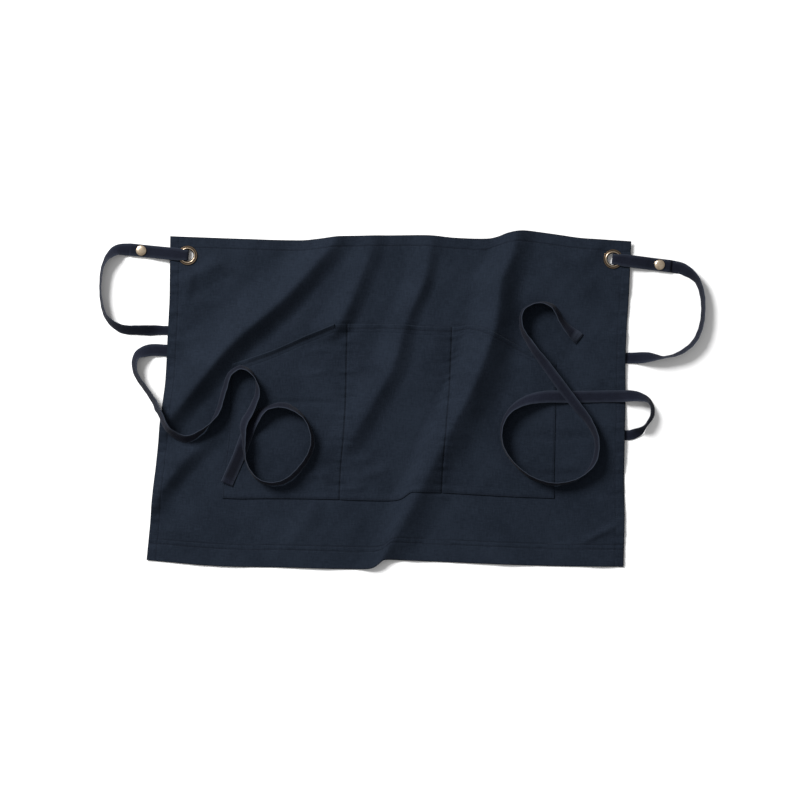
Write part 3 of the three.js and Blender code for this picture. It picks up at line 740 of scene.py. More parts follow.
def make_cloth_material(name, deep, faded, yarns, slant, yarn_height, sheen):
    """Woven cotton with its own dye, yarns and wear, with painted shade between its yarns and along masked
    edges, seams and stitch lines, and a painted highlight on masked tape edges, on the piece's flat UV map.
    """
    material, tree, shader = new_material(name)
    flat = tree.nodes.new("ShaderNodeUVMap")
    flat.uv_map = "flat"
    yarn_settings = {"Yarns per metre": yarns, "Twill slant": slant}
    weave = place_group(tree, weave_group, flat.outputs["UV"], yarn_settings)
    fade = place_group(tree, fade_group, flat.outputs["UV"], {})
    dyed = colour_mix(tree, fade.outputs["Mask"], deep, faded)
    # Painted shade: the colour is darkened between the yarns
    shade_between_yarns = math_node(tree, "MULTIPLY", weave.outputs["Valley"], 0.55)
    woven = colour_mix(tree, shade_between_yarns, dyed, painted_yarn_shade, "MULTIPLY")
    # Painted highlight: lighter where the mask marks the tapes' edges; the right tape's end is lighter as
    # well
    with_painted_highlight = colour_mix(tree, mask_node(tree, "painted_highlight_and_light_end"), woven, painted_highlight_navy)
    # Painted shade: darker where the mask marks edges, seams and stitch lines; on the left tape also a darker
    # stretch
    with_painted_shade = colour_mix(tree, mask_node(tree, "painted_shade_and_darkening"), with_painted_highlight, painted_shade_tint, "MULTIPLY")
    tree.links.new(with_painted_shade, shader.inputs["Base Color"])
    rough = math_node(tree, "MULTIPLY_ADD", fade.outputs["Mask"], 0.12, 0.82)
    tree.links.new(rough, shader.inputs["Roughness"])
    shader.inputs["Sheen Weight"].default_value = sheen
    shader.inputs["Sheen Roughness"].default_value = 0.45
    shader.inputs["Specular IOR Level"].default_value = 0.08
    raise_surface(tree, shader, weave.outputs["Height"], 0.6, yarn_height)
    return material


def make_thread_material():
    """Twisted sewing thread."""
    material, tree, shader = new_material("navy_thread")
    place = tree.nodes.new("ShaderNodeTexCoord")
    fleck = noise_node(tree, place.outputs["Object"], 1500.0, 2.0)
    tree.links.new(colour_mix(tree, fleck, thread_navy, thread_highlight), shader.inputs["Base Color"])
    shader.inputs["Roughness"].default_value = 0.8
    shader.inputs["Specular IOR Level"].default_value = 0.1
    return material


def make_brass_material():
    """Antique brass with a brown tarnish and rubbed highlights."""
    material, tree, shader = new_material("antique_brass")
    place = tree.nodes.new("ShaderNodeTexCoord")
    patina = place_group(tree, patina_group, place.outputs["Object"], {})
    bright = colour_mix(tree, patina.outputs["Tarnish"], rubbed_brass, dull_brass)
    brown = colour_mix(tree, patina.outputs["Tarnish"], brown_tarnish, dark_tarnish)
    tree.links.new(colour_mix(tree, mask_node(tree, "rub"), brown, bright), shader.inputs["Base Color"])
    shader.inputs["Metallic"].default_value = 1.0
    rough = math_node(tree, "MULTIPLY_ADD", patina.outputs["Tarnish"], 0.25, 0.24)
    tree.links.new(rough, shader.inputs["Roughness"])
    raise_surface(tree, shader, patina.outputs["Scratches"], 0.25, 0.0001)
    return material


# Colours of the cloth, its painted highlight and painted shade, the thread, the metal and the floor
twill_navy = (0.0058, 0.0092, 0.0158, 1)
twill_faded = (0.0118, 0.0168, 0.0264, 1)
tape_navy = (0.0046, 0.0058, 0.0112, 1)
tape_faded = (0.0080, 0.0098, 0.0176, 1)
# Painted highlight colour for the tapes' edges
painted_highlight_navy = (0.030, 0.037, 0.053, 1)
# Painted shade tint between the yarns
painted_yarn_shade = (0.62, 0.62, 0.66, 1)
# Painted shade tint for edges, seams and stitch lines
painted_shade_tint = (0.3, 0.3, 0.34, 1)
thread_navy = (0.0050, 0.0066, 0.0118, 1)
thread_highlight = (0.0090, 0.0115, 0.0185, 1)
rubbed_brass = (0.70, 0.58, 0.44, 1)
dull_brass = (0.34, 0.255, 0.17, 1)
brown_tarnish = (0.085, 0.055, 0.030, 1)
dark_tarnish = (0.030, 0.021, 0.017, 1)
floor_white = (0.86, 0.86, 0.86, 1)

weave_group = make_weave_group()
fade_group = make_fade_group()
patina_group = make_patina_group()
navy_twill = make_cloth_material(
    "navy_twill", twill_navy, twill_faded, yarns=1100.0, slant=1.0, yarn_height=0.00022, sheen=0.01)
navy_tape = make_cloth_material(
    "navy_tape", tape_navy, tape_faded, yarns=1400.0, slant=0.0, yarn_height=0.00020, sheen=0.015)
navy_thread = make_thread_material()
antique_brass = make_brass_material()


# Where the flat plan sits in the model's frame: the left eyelet's centre is known there
def eyelet_centre(side):
    """The centre of an eyelet at the surface below it, from the model."""
    low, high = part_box(f"grommet_{side}")
    return Vector(((low[0] + high[0]) / 2, (low[1] + high[1]) / 2, 0))


def model_shift():
    """How far the plan is moved to fit the model's left eyelet."""
    across = np.array([eyelet_inset / panel_width])
    down = np.array([eyelet_drop / panel_height])
    x, y, _ = plan(across, down)
    centre = eyelet_centre("left")
    return centre.x - x[0], centre.y - y[0]


origin_shift = model_shift()


# Panel
def panel_surface(flat_x, flat_y):
    """Where flat points lie on the panel's face."""
    return face(flat_x / panel_width, flat_y / panel_height)


def make_panel():
    """The hemmed twill panel, open at the eyelets."""
    side_marks = [0, side_hem, panel_width - side_hem, panel_width]
    low_hem = panel_height - bottom_hem
    columns = fitted_lines(panel_width, side_marks, panel_grid_step)
    rows = fitted_lines(
        panel_height, [0, waist_hem, low_hem, low_hem + stitch_gap, panel_height], panel_grid_step)

    def place(flat_x, flat_y):
        """Flat points and where they lie."""
        return flat_x, flat_y, *panel_surface(flat_x, flat_y)

    grid = cloth_grid(columns, rows, place)
    for side in ("left", "right"):
        centre = eyelet_centre(side)
        inner = eyelet_hole / 2 + cut_clearance
        gone = [v for v in grid.verts if (v.co.xy - centre.xy).length < inner]
        bmesh.ops.delete(grid, geom=gone, context="VERTS")
        for vert in grid.verts:
            if vert.is_boundary and (vert.co.xy - centre.xy).length < eyelet_outer / 2:
                outward = (vert.co.xy - centre.xy).normalized() * inner
                vert.co.x = centre.x + outward.x
                vert.co.y = centre.y + outward.y
    flat_x, flat_y = flat_places(grid)
    across, down = flat_x / panel_width, flat_y / panel_height
    panel = finish_mesh("panel_cloth", grid, navy_twill)
    # Painted shade: darker along the cut edges and the hems' stitch lines
    painted_shade_and_darkening = 0.75 * line_share(edge_distance(across, down), 0.001)
    for from_stitches in (flat_y - waist_hem, flat_y - low_hem, flat_y - low_hem - stitch_gap):
        painted_shade_and_darkening = np.maximum(painted_shade_and_darkening, 0.22 * line_share(from_stitches, 0.0009))
    paint(panel, "painted_shade_and_darkening", painted_shade_and_darkening)
    thicken(panel, hem_thickness, np.clip(cloth_wall(across, down) / hem_thickness, 0, 1))
    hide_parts("panel")
    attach(panel, "root")
    return panel


# Pocket patch
def patch_top(flat_x):
    """Distance down the panel of the patch's upper edge."""
    from_middle = np.abs(flat_x - panel_width / 2)
    slope = (pocket_height - pocket_side_height) / (pocket_width / 2 - pocket_top_width / 2)
    top = panel_height - pocket_rise - pocket_height
    return top + slope * np.maximum(from_middle - pocket_top_width / 2, 0)


def seam_distance(flat_x, flat_y):
    """Distance from the nearer upright seam of the patch."""
    away = [np.abs(flat_x - seam_place(seam, flat_y / panel_height) * panel_width) for seam in pocket_seams]
    return np.minimum(*away)


def patch_lift(flat_x, flat_y):
    """Height of the patch's face over the panel's face: sewn down at its seams, loose at its mouths."""
    outline = sewn_outline(flat_x, flat_y)
    seam = seam_distance(flat_x, flat_y)
    sewn = np.minimum(outline, seam)
    from_mouth = flat_y - patch_top(flat_x)
    sideways = flat_x - panel_width / 2
    along_mouth = (np.abs(sideways) - pocket_top_width / 2) / (pocket_width / 2 - pocket_top_width / 2)
    left_slack = 0.0068 - 0.0045 * np.clip(along_mouth, 0, 1)
    right_slack = 0.0022
    middle_slack = 0.0015
    slack = np.where(along_mouth > 0, np.where(sideways < 0, left_slack, right_slack), middle_slack)
    rolled = 1 - 0.45 * (1 - np.clip(from_mouth / 0.0014, 0, 1)) ** 2
    opened = (1 - np.clip(from_mouth / 0.0095, 0, 1)) ** 1.3
    gape = slack * smooth_step(sewn, 0.001, 0.035) * rolled * opened
    hemmed = 0.0003 * (1 - smooth_step(from_mouth, pocket_hem - 0.001, pocket_hem + 0.003))
    turned = 0.0006 * (1 - smooth_step(panel_height - pocket_rise - flat_y, 0.007, 0.012))
    full = 0.0013 * smooth_step(sewn, 0.001, 0.03)
    hem_furrows = groove(from_mouth - pocket_hem, 0.0004, furrow_width)
    hem_furrows += groove(from_mouth - pocket_hem / 2, 0.0002, furrow_width)
    seam_furrows = groove(seam, 0.0011, furrow_width)
    seam_furrows += groove(outline - patch_stitch_inset, 0.0003, furrow_width)
    lift = gap / 2 + cloth_layer + full + gape + hemmed + turned + hem_furrows + seam_furrows
    return lift - 0.5 * edge_round(np.minimum(from_mouth, np.maximum(outline, 0)))


def sewn_outline(flat_x, flat_y):
    """Distance inside the patch's sides and bottom."""
    left = (panel_width - pocket_width) / 2
    sides = np.minimum(flat_x - left, panel_width - left - flat_x)
    return np.minimum(sides, panel_height - pocket_rise - flat_y)


def patch_surface(flat_x, flat_y):
    """Where flat points lie on the patch's face."""
    x, y, z = panel_surface(flat_x, flat_y)
    return x, y, z + patch_lift(flat_x, flat_y)


def follow_seams(flat_x, down):
    """Moves the patch's upright grid lines so that they run along its slanting seams."""
    moved = flat_x.copy()
    for seam in pocket_seams:
        middle = panel_width / 2 + (seam[0] + seam[1]) / 2
        near = 1 - smooth_step(np.abs(flat_x - middle), 0.004, 0.04)
        moved += near * (seam_place(seam, down) * panel_width - middle)
    return moved


def make_pocket():
    """The kangaroo patch on the panel."""
    left = (panel_width - pocket_width) / 2
    marks = [left, left + patch_grid_inset, panel_width - left - patch_grid_inset, panel_width - left]
    for seam in pocket_seams:
        marks.append(panel_width / 2 + (seam[0] + seam[1]) / 2)
    for way in (-1, 1):
        marks.append((panel_width + way * pocket_top_width) / 2)
    columns = fitted_lines(panel_width, marks, patch_grid_step, left, panel_width - left)
    row_marks = [0, pocket_hem / 2, pocket_hem, pocket_height - patch_grid_inset]
    rows = fitted_lines(pocket_height, row_marks, patch_grid_step)
    level = 2 * pocket_hem

    def place(flat_x, row):
        """Flat points and where they lie, with the rows following the mouths at the top."""
        top = patch_top(flat_x)
        height = panel_height - pocket_rise - top
        deep = level + (row - level) / (pocket_height - level) * (height - level)
        flat_y = top + np.where(row < level, row, deep)
        flat_x = follow_seams(flat_x, flat_y / panel_height)
        return flat_x, flat_y, *patch_surface(flat_x, flat_y)

    grid = cloth_grid(columns, rows, place)
    flat_x, flat_y = flat_places(grid)
    pocket = finish_mesh("pocket_cloth", grid, navy_twill)
    from_mouth = flat_y - patch_top(flat_x)
    from_stitches = sewn_outline(flat_x, flat_y) - patch_stitch_inset
    # Painted shade: darker along the upright seams, the stitch lines round the sides and bottom, and the
    # mouths' hem stitches
    painted_shade_and_darkening = 0.6 * line_share(seam_distance(flat_x, flat_y), 0.001)
    painted_shade_and_darkening = np.maximum(painted_shade_and_darkening, 0.25 * line_share(from_stitches, 0.0008))
    painted_shade_and_darkening = np.maximum(painted_shade_and_darkening, 0.25 * line_share(from_mouth - pocket_hem / 2, 0.0009))
    paint(pocket, "painted_shade_and_darkening", painted_shade_and_darkening)
    # The wall is thinner at turned edges, and at seams, where the patch would otherwise reach into the panel
    patch_wall = cloth_layer * 0.92
    thinnest = 0.05
    turned_wall = patch_wall - 0.8 * edge_round(from_mouth)
    room = np.minimum(0.88 * patch_lift(flat_x, flat_y) - gap / 2, turned_wall)
    thicken(pocket, patch_wall, np.clip(room / patch_wall, thinnest, 1))
    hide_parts("pocket")
    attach(pocket, "root")
    return pocket


# Tapes
Course = namedtuple("Course", "line across normal widths layers lengths free_from")

# A tape's section, round its top and back below. Columns: shares of half the width and half the thickness
tape_top = [
    (1.0, 0.25), (0.985, 0.7), (0.93, 0.95), (0.45, 0.9),
    (-0.45, 0.9), (-0.93, 0.95), (-0.985, 0.7), (-1.0, 0.25),
]
tape_section = tape_top + [(share, -thick) for share, thick in reversed(tape_top)]


def curve_through(points, count):
    """Centripetal Catmull-Rom curve: places and headings at even steps of its own measure."""
    pts = np.array(points, dtype=float)
    pts = np.vstack([2 * pts[0] - pts[1], pts, 2 * pts[-1] - pts[-2]])
    gaps = np.sqrt(np.linalg.norm(np.diff(pts, axis=0), axis=1))
    places = []
    for i in range(1, count + 1):
        way = i / count * (len(points) - 1)
        low = min(int(way), len(points) - 2)
        t = way - low
        p0, p1, p2, p3 = pts[low:low + 4]
        g0, g1, g2 = gaps[low:low + 3]
        out = ((p1 - p0) / g0 - (p2 - p0) / (g0 + g1) + (p2 - p1) / g1) * g1
        into = ((p2 - p1) / g1 - (p3 - p1) / (g1 + g2) + (p3 - p2) / g2) * g1
        squared = (3 * (p2 - p1) - 2 * out - into) * t ** 2
        cubed = (2 * (p1 - p2) + out + into) * t ** 3
        places.append(p1 + out * t + squared + cubed)
    return np.array(places)


def spread_evenly(values, places, count):
    """Values along a line of places, sampled at even distances."""
    lengths = distances_along(places)
    wanted = np.linspace(0, lengths[-1], count)
    return np.column_stack([np.interp(wanted, lengths, column) for column in np.array(values).T])


def soften(values, passes):
    """Repeated averaging of neighbours, with the ends kept."""
    values = values.copy()
    for _ in range(passes):
        values[1:-1] = 0.25 * values[:-2] + 0.5 * values[1:-1] + 0.25 * values[2:]
    return values


def ground_under(places, headings, half_spans, trees):
    """Highest point of the cloth under each station of a tape."""
    down = Vector((0, 0, -1))
    well_above = 0.2
    ground = np.zeros(len(places))
    for i, (place, heading, half) in enumerate(zip(places, headings, half_spans)):
        for sideways in (-1, -0.5, 0, 0.5, 1):
            x = place[0] - heading[1] * half * sideways
            y = place[1] + heading[0] * half * sideways
            spot = Vector((x, y, well_above))
            for tree in trees:
                hit = tree.ray_cast(spot, down)[0]
                if hit is not None:
                    ground[i] = max(ground[i], hit.z)
    return ground


def fastened_stretch(centre, outward):
    """The tape from its flap's end, over the eyelet's rim, through it and back under to beyond the snap."""
    in_hole = -tape_thickness / 2
    bend = 0.0015
    gathered = 0.006
    past_panel = 0.006
    rows = [
        [flap_reach, snap_front_height, tape_width], [snap_reach, snap_front_height, tape_width],
        [snap_reach - snap_cap * 0.75, snap_front_height, tape_width],
        [(snap_reach + eyelet_inset) / 2, (snap_front_height + front_tape_height) / 2 - gap, tape_width],
        [eyelet_inset + gap, front_tape_height - gap, tape_width],
        [eyelet_outer / 2, front_tape_height, tape_width], [gathered, front_tape_height, tape_in_hole],
        [bend, front_tape_height - gap, tape_in_hole], [in_hole, front_tape_height - bend, tape_in_hole],
        [in_hole, back_tape_height + bend, tape_in_hole], [bend, back_tape_height + gap, tape_in_hole],
        [gathered, back_tape_height, tape_in_hole], [eyelet_outer / 2, back_tape_height, tape_width],
        [eyelet_inset + past_panel, back_tape_height, tape_width],
        [snap_reach - snap_cap, snap_back_height, tape_width], [snap_reach, snap_back_height, tape_width],
        [flap_reach, snap_back_height, tape_width],
    ]
    table = np.array(rows)
    fine = curve_through(table, 6 * (len(rows) - 1))
    fine = np.vstack([table[0], fine])
    fine[:, 2] = np.clip(fine[:, 2], tape_in_hole, tape_width)
    places = [centre + outward * out + Vector((0, 0, height)) for out, height, _ in fine]
    return np.array(places), fine[:, 2]


def loose_stretch(route, centre, outward, trees):
    """The tape from beyond the snap to its loose end, laid on what is under it."""
    steps = 560
    passes = 6
    start = centre + outward * flap_reach
    rows = np.array([[start.x - centre.x, start.y - centre.y, 0, 1, 0, 1]] + route, dtype=float)
    rows[:, 0] += centre.x
    rows[:, 1] += centre.y
    plan_line = np.vstack([rows[0, :2], curve_through(rows[:, :2], steps)])
    settings = np.column_stack([
        np.interp(np.linspace(0, len(rows) - 1, steps + 1), np.arange(len(rows)), rows[:, column])
        for column in range(2, 6)])
    even = spread_evenly(np.column_stack([plan_line, settings]), plan_line, steps + 1)
    line = even[:, :2]
    roll = np.radians(soften(even[:, 2], passes))
    width = tape_width * soften(even[:, 3], passes)
    headings = unit(np.gradient(line, axis=0))
    half_height = np.abs(np.sin(roll)) * width / 2 + np.abs(np.cos(roll)) * tape_thickness / 2
    half_span = np.abs(np.cos(roll)) * width / 2 + tape_thickness
    ground = ground_under(line, headings, half_span, trees) * (even[:, 5] < 0.5)
    reach = 4
    widened = np.array([ground[max(i - reach, 0):i + reach + 1].max() for i in range(len(ground))])
    ground = soften(widened, 10)
    height = ground + gap + half_height + soften(even[:, 4], passes)
    leaves_snap = smooth_step(np.arange(len(height)), 0, 12)
    height = mix(snap_back_height, height, leaves_snap)
    return np.column_stack([line, height]), headings, roll, width


def tape_course(side, route, trees):
    """How a whole tape lies, station by station, from its flap's end to its loose end."""
    centre = eyelet_centre(side)
    slant = tape_slant[side]
    outward = Vector((outward_side[side] * math.cos(slant), math.sin(slant), 0))
    fast_places, fast_width = fastened_stretch(centre, outward)
    places, headings, roll, width = loose_stretch(route, centre, outward, trees)
    fast_across = np.tile([outward.y, -outward.x, 0.0], (len(fast_places), 1))
    left = np.column_stack([-headings[:, 1], headings[:, 0], np.zeros(len(headings))])
    loose_across = -left * np.cos(roll)[:, None]
    loose_across[:, 2] -= np.sin(roll)
    line = np.vstack([fast_places, places[1:]])
    across = np.vstack([fast_across, loose_across[1:]])
    widths = np.concatenate([fast_width, width[1:]])
    tangent = unit(np.gradient(line, axis=0))
    across = unit(across - tangent * np.sum(across * tangent, axis=1)[:, None])
    lengths = distances_along(line)
    layers = 0.8 + 0.2 * (1 - smooth_step(lengths, flap_hem - 0.001, flap_hem))
    layers = layers + 0.35 * smooth_step(lengths, lengths[-1] - tail_hem - 0.0008, lengths[-1] - tail_hem)
    return Course(line, across, np.cross(tangent, across), widths, layers, lengths, len(fast_places))


def tape_ribbon(course):
    """A ribbon with rounded edges that ripple a little where it lies free, none of it below the floor."""
    shape = bmesh.new()
    layer = shape.loops.layers.uv.new("flat")
    rings = []
    for i, length in enumerate(course.lengths):
        wave = 0.00018 * math.sin(length * 410) + 0.00012 * math.sin(length * 173)
        ring = []
        for share, thick in tape_section:
            ripple = wave * abs(share) ** 3 * (i > course.free_from)
            out = thick * course.layers[i] * tape_thickness / 2 + ripple
            sideways = course.across[i] * (share * course.widths[i] / 2)
            spot = course.line[i] + sideways + course.normal[i] * out
            spot[2] = max(spot[2], 0)
            ring.append(shape.verts.new(spot))
        rings.append(ring)
    count = len(tape_section)
    for i in range(len(rings) - 1):
        for j in range(count):
            k = (j + 1) % count
            quad = shape.faces.new((rings[i][j], rings[i][k], rings[i + 1][k], rings[i + 1][j]))
            for loop, (ring, spot) in zip(quad.loops, ((i, j), (i, k), (i + 1, k), (i + 1, j))):
                loop[layer].uv = (tape_section[spot][0] * course.widths[ring] / 2, course.lengths[ring])
    shape.faces.new(rings[0][::-1])
    shape.faces.new(rings[-1])
    bmesh.ops.recalc_face_normals(shape, faces=shape.faces)
    return shape


def paint_tape(tape, side, lengths):
    """Masks of a tape's painted highlight along its edges, of the right tape's lighter end, of painted shade
    along the tail hem's stitch line, and of the left tape's darker stretch.
    """
    shares = np.tile(np.abs([share for share, _ in tape_section]), len(lengths))
    to_end = np.repeat(lengths[-1] - lengths, len(tape_section))
    # Painted highlight: lighter along both edges; the right tape's last 12 mm are lighter over the whole
    # width
    painted_highlight_and_light_end = 0.75 * smooth_step(shares, 0.9, 0.97)
    if side == "right":
        painted_highlight_and_light_end = np.maximum(painted_highlight_and_light_end, 0.5 * (1 - smooth_step(to_end, 0.012, 0.0135)))
    paint(tape, "painted_highlight_and_light_end", painted_highlight_and_light_end)
    # Painted shade along the tail hem's stitch line; on the left tape, a darker stretch from about 1 to 6 cm
    # before the end, away from its edges
    tape_shade_and_darkening = 0.35 * line_share(to_end - tail_hem, 0.0008)
    if side == "left":
        dark_stretch = smooth_step(to_end, 0.009, 0.012) * (1 - smooth_step(to_end, 0.058, 0.066))
        tape_shade_and_darkening = np.maximum(tape_shade_and_darkening, 0.65 * dark_stretch * (1 - smooth_step(shares, 0.78, 0.9)))
    paint(tape, "painted_shade_and_darkening", tape_shade_and_darkening)


def make_tape_stitches(side, course):
    """Stitch rows across a tape at its flap's hem and at its loose end."""
    shape = bmesh.new()
    half = course.layers * tape_thickness / 2
    end = course.lengths[-1]
    count = 12
    steps_across = np.linspace(-0.42, 0.42, count)[:, None]
    for place in (flap_hem, flap_hem - 0.003, end - tail_hem, end - 0.002):
        i = int(np.searchsorted(course.lengths, place))
        up = course.normal[i] if course.normal[i][2] > 0 else -course.normal[i]
        row = course.line[i] + course.across[i] * steps_across * course.widths[i] + up * half[i]
        add_stitches(shape, row, np.tile(up, (count, 1)), tape_stitch_pitch, tape_stitch_length,
                     tape_stitch_radius)
    rows = finish_mesh(f"tape_stitches_{side}", shape, navy_thread)
    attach(rows, "root")


def make_tape(side, route, trees):
    """One whole tape with its stitches, and the line it follows."""
    course = tape_course(side, route, trees)
    tape = finish_mesh(f"tape_{side}", tape_ribbon(course), navy_tape)
    paint_tape(tape, side, course.lengths)
    make_tape_stitches(side, course)
    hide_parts(f"tie_{side}")
    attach(tape, "root")
    return tape, course.line, course.lengths


# Eyelets and snaps
def spun(name, profile, centre, material):
    """A turned piece from a profile of radii and heights, about an upright line at centre."""
    steps = 72
    shape = bmesh.new()
    ring = [shape.verts.new((radius, 0, height)) for radius, height in profile]
    edges = [shape.edges.new(pair) for pair in zip(ring, ring[1:])]
    if profile[0][0] > 0:
        edges.append(shape.edges.new((ring[-1], ring[0])))
    bmesh.ops.spin(shape, geom=ring + edges, cent=(0, 0, 0), axis=(0, 0, 1), angle=2 * math.pi, steps=steps,
                   use_merge=True)
    bmesh.ops.remove_doubles(shape, verts=shape.verts, dist=1e-6)
    bmesh.ops.recalc_face_normals(shape, faces=shape.faces)
    bmesh.ops.translate(shape, verts=shape.verts, vec=centre)
    return finish_mesh(name, shape, material)


def arc(middle, radius, start, end, count):
    """Points of an arc in a profile, angles in degrees from outwards."""
    angles = np.radians(np.linspace(start, end, count))
    return [(middle[0] + radius * math.cos(a), middle[1] + radius * math.sin(a)) for a in angles]


def make_eyelet(side):
    """A rolled eyelet: front flange with its bead, barrel and back washer."""
    low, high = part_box(f"grommet_{side}")
    inner = eyelet_hole / 2
    outer = (high[0] - low[0]) / 2
    top, bottom = high[2], low[2]
    crest = inner + 0.0022
    flange = top - front_flange
    barrel = inner + 0.001
    washer = bottom + back_flange
    # The bead that the flange rolls up in, inside and outside its crest. Columns: outwards, below the top
    bead_inside = [(0, 0.0026), (0.0002, 0.0018), (0.0006, 0.0011), (0.0011, 0.0005), (0.0016, 0.00014)]
    bead_outside = [(0, 0), (0.0006, 0.0002), (0.0011, 0.0006), (0.0015, 0.00095), (0.0021, 0.00085)]
    profile = [(inner + out, top - below) for out, below in bead_inside]
    profile += [(crest + out, top - below) for out, below in bead_outside]
    profile += [(outer - 0.0011, top - 0.00072)]
    profile += arc((outer - 0.0006, flange + 0.00035), 0.0005, 80, -90, 8)
    profile += [(barrel, flange), (barrel, washer), (outer - 0.0018, washer)]
    profile += arc((outer - 0.0019, bottom + 0.0005), 0.0004, 60, -90, 5)
    profile += [(inner + 0.0003, bottom), (inner, bottom + 0.0003)]
    centre = eyelet_centre(side)
    eyelet = spun(f"eyelet_{side}", profile, centre, antique_brass)
    places = np.array([v.co for v in eyelet.data.vertices])
    radii = np.hypot(places[:, 0] - centre.x, places[:, 1] - centre.y)
    bright = 0.85 * line_share(radii - crest, 0.0007) * (places[:, 2] > top - 0.0008)
    rim = 0.3 * line_share(radii - outer + 0.0012, 0.0003) * (places[:, 2] > flange)
    paint(eyelet, "rub", np.maximum(bright, rim))
    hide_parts(f"grommet_{side}")
    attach(eyelet, "root")


def make_snap(side):
    """A snap: domed cap with a rolled edge, post and back disc."""
    low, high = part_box(f"snap_{side}")
    cap = (high[0] - low[0]) / 2
    top, bottom = high[2], low[2]
    base = top - 0.0024
    post = 0.0022
    disc = 0.006
    # The cap's dome. Columns: share of its radius, below the top
    dome = [
        (0, 0), (0.2, 0.00003), (0.4, 0.00012), (0.58, 0.0003), (0.72, 0.00058),
        (0.82, 0.0009), (0.87, 0.00122),
    ]
    profile = [(cap * share, top - below) for share, below in dome]
    profile += arc((cap - 0.00065, base + 0.0006), 0.0006, 100, -90, 9)
    profile += [(post, base), (post, bottom + snap_disc), (disc, bottom + snap_disc)]
    profile += arc((disc, bottom + snap_disc / 2), snap_disc / 2, 70, -90, 6)
    profile += [(0, bottom)]
    centre = Vector(((low[0] + high[0]) / 2, (low[1] + high[1]) / 2, 0))
    snap = spun(f"snap_cap_{side}", profile, centre, antique_brass)
    places = np.array([v.co for v in snap.data.vertices])
    paint(snap, "rub", 0.25 + 0.75 * smooth_step(places[:, 2], base + 0.0008, base + 0.0014))
    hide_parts(f"snap_{side}")
    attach(snap, "root")
    return snap


# Stitches
def add_stitches(shape, points, normals, pitch, length, radius):
    """Adds a small sunk bead for each stitch along a line of points."""
    lengths = distances_along(points)
    for middle in np.arange(pitch / 2, lengths[-1], pitch):
        ends = []
        for place in (middle - length / 2, middle + length / 2):
            ends.append(np.array([np.interp(place, lengths, points[:, k]) for k in range(3)]))
        up = np.array([np.interp(middle, lengths, normals[:, k]) for k in range(3)])
        up /= np.linalg.norm(up)
        way = ends[1] - ends[0]
        way /= np.linalg.norm(way)
        side = np.cross(up, way)
        axes = (way * length, side * radius * 2, np.cross(way, side) * radius * 2)
        place = Matrix(axes).transposed().to_4x4()
        place.translation = (ends[0] + ends[1]) / 2
        bmesh.ops.create_icosphere(shape, subdivisions=1, radius=0.5, matrix=place)


def stitch_line(shape, start, end, surface):
    """A row of stitches between two flat points, on a surface given in flat metres."""
    station_step = 0.002
    count = max(2, int(math.dist(start, end) / station_step))
    flat_x = np.linspace(start[0], end[0], count)
    flat_y = np.linspace(start[1], end[1], count)
    probe = 0.001
    raised = 0.0001
    points = np.column_stack(surface(flat_x, flat_y))
    over = np.column_stack(surface(flat_x + probe, flat_y)) - points
    below = np.column_stack(surface(flat_x, flat_y + probe)) - points
    normals = unit(np.cross(below, over))
    add_stitches(shape, points + normals * raised, normals, stitch_pitch, stitch_length, stitch_radius)


def make_panel_stitches():
    """Stitch rows of the hems."""
    shape = bmesh.new()
    low = panel_height - bottom_hem
    inside = 0.0005
    from_edge = 0.002
    for x in (side_hem - inside, panel_width - side_hem + inside):
        stitch_line(shape, (x, from_edge), (x, panel_height - from_edge), panel_surface)
    for y in (waist_hem, low, low + stitch_gap):
        stitch_line(shape, (from_edge, y), (panel_width - from_edge, y), panel_surface)
    rows = finish_mesh("hem_stitches", shape, navy_thread)
    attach(rows, "root")


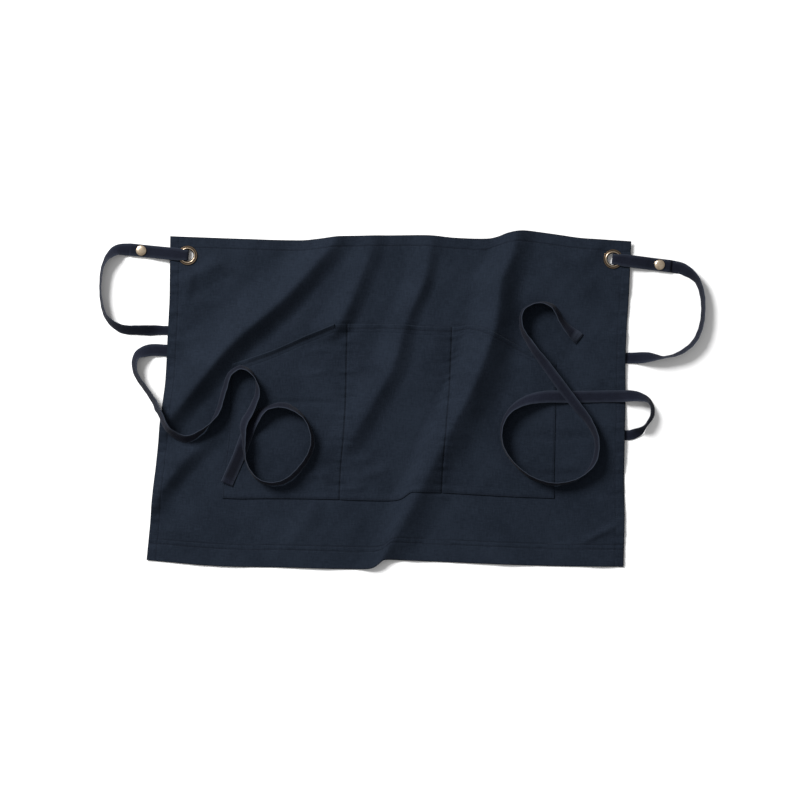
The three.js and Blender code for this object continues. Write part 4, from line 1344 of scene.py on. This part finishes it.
def make_pocket_stitches():
    """Stitch rows of the patch: its seams, sides, bottom and hemmed mouths."""
    shape = bmesh.new()
    left = (panel_width - pocket_width) / 2 + patch_stitch_inset
    right = panel_width - left
    bottom = panel_height - pocket_rise - patch_stitch_inset
    top = panel_height - pocket_rise - pocket_height
    side_top = bottom - pocket_side_height + 0.004
    stitch_line(shape, (left, bottom), (right, bottom), patch_surface)
    for x in (left, right):
        stitch_line(shape, (x, side_top), (x, bottom), patch_surface)
    for seam in pocket_seams:
        ends = [panel_width / 2 + value for value in seam]
        stitch_line(shape, (ends[0], top + 0.001), (ends[1], bottom), patch_surface)
    half_top = pocket_top_width / 2
    middle = panel_width / 2
    mouth = top + pocket_hem / 2
    side_mouth = top + pocket_height - pocket_side_height + pocket_hem / 2
    stitch_line(shape, (middle - half_top, mouth), (middle + half_top, mouth), patch_surface)
    for way in (-1, 1):
        start = (middle + way * half_top, mouth)
        end = (middle + way * (pocket_width / 2 - patch_grid_inset), side_mouth)
        stitch_line(shape, start, end, patch_surface)
    rows = finish_mesh("pocket_stitches", shape, navy_thread)
    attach(rows, "root")


# Camera, floor and light
def make_camera():
    """A long lens straight above, as the photograph was taken."""
    distance = 4.0
    sensor = 36.0
    view_width = photo_pixels * metres_per_pixel
    data = bpy.data.cameras.new("camera")
    data.sensor_width = sensor
    data.lens = sensor * distance / view_width
    camera = bpy.data.objects.new("camera", data)
    middle = photo_pixels / 2
    camera.location = ((middle - panel_middle_pixel[0]) * metres_per_pixel,
                       (panel_middle_pixel[1] - middle) * metres_per_pixel, distance)
    bpy.context.scene.collection.objects.link(camera)
    bpy.context.scene.camera = camera


def make_floor():
    """A pale plain floor."""
    shape = bmesh.new()
    bmesh.ops.create_grid(shape, x_segments=1, y_segments=1, size=4.0)
    material, _, shader = new_material("pale_floor")
    shader.inputs["Base Color"].default_value = floor_white
    shader.inputs["Roughness"].default_value = 0.9
    floor = finish_mesh("floor", shape, material, smooth=False)


def make_light():
    """A soft key from the upper left and an even fill."""
    data = bpy.data.lights.new("key", "AREA")
    data.shape = "DISK"
    data.size = 2.4
    data.energy = 690
    key = bpy.data.objects.new("key", data)
    key.location = (-3.4, 3.3, 3.65)
    key.rotation_euler = (Vector((0, 0, 0)) - key.location).to_track_quat("-Z", "Y").to_euler()
    bpy.context.scene.collection.objects.link(key)
    world = bpy.data.worlds.new("studio")
    world.use_nodes = True
    world.node_tree.nodes["Background"].inputs["Color"].default_value = (1, 1, 1, 1)
    world.node_tree.nodes["Background"].inputs["Strength"].default_value = 0.46
    bpy.context.scene.world = world
    bpy.context.scene.view_settings.view_transform = "Standard"


make_camera()
make_floor()
make_light()
panel = make_panel()
pocket = make_pocket()
trees = [face_tree(panel), face_tree(pocket)]
snaps = {side: make_snap(side) for side in ("left", "right")}
for side, route in (("left", left_route), ("right", right_route)):
    make_eyelet(side)
    tape, line, lengths = make_tape(side, route, trees)
make_panel_stitches()
make_pocket_stitches()
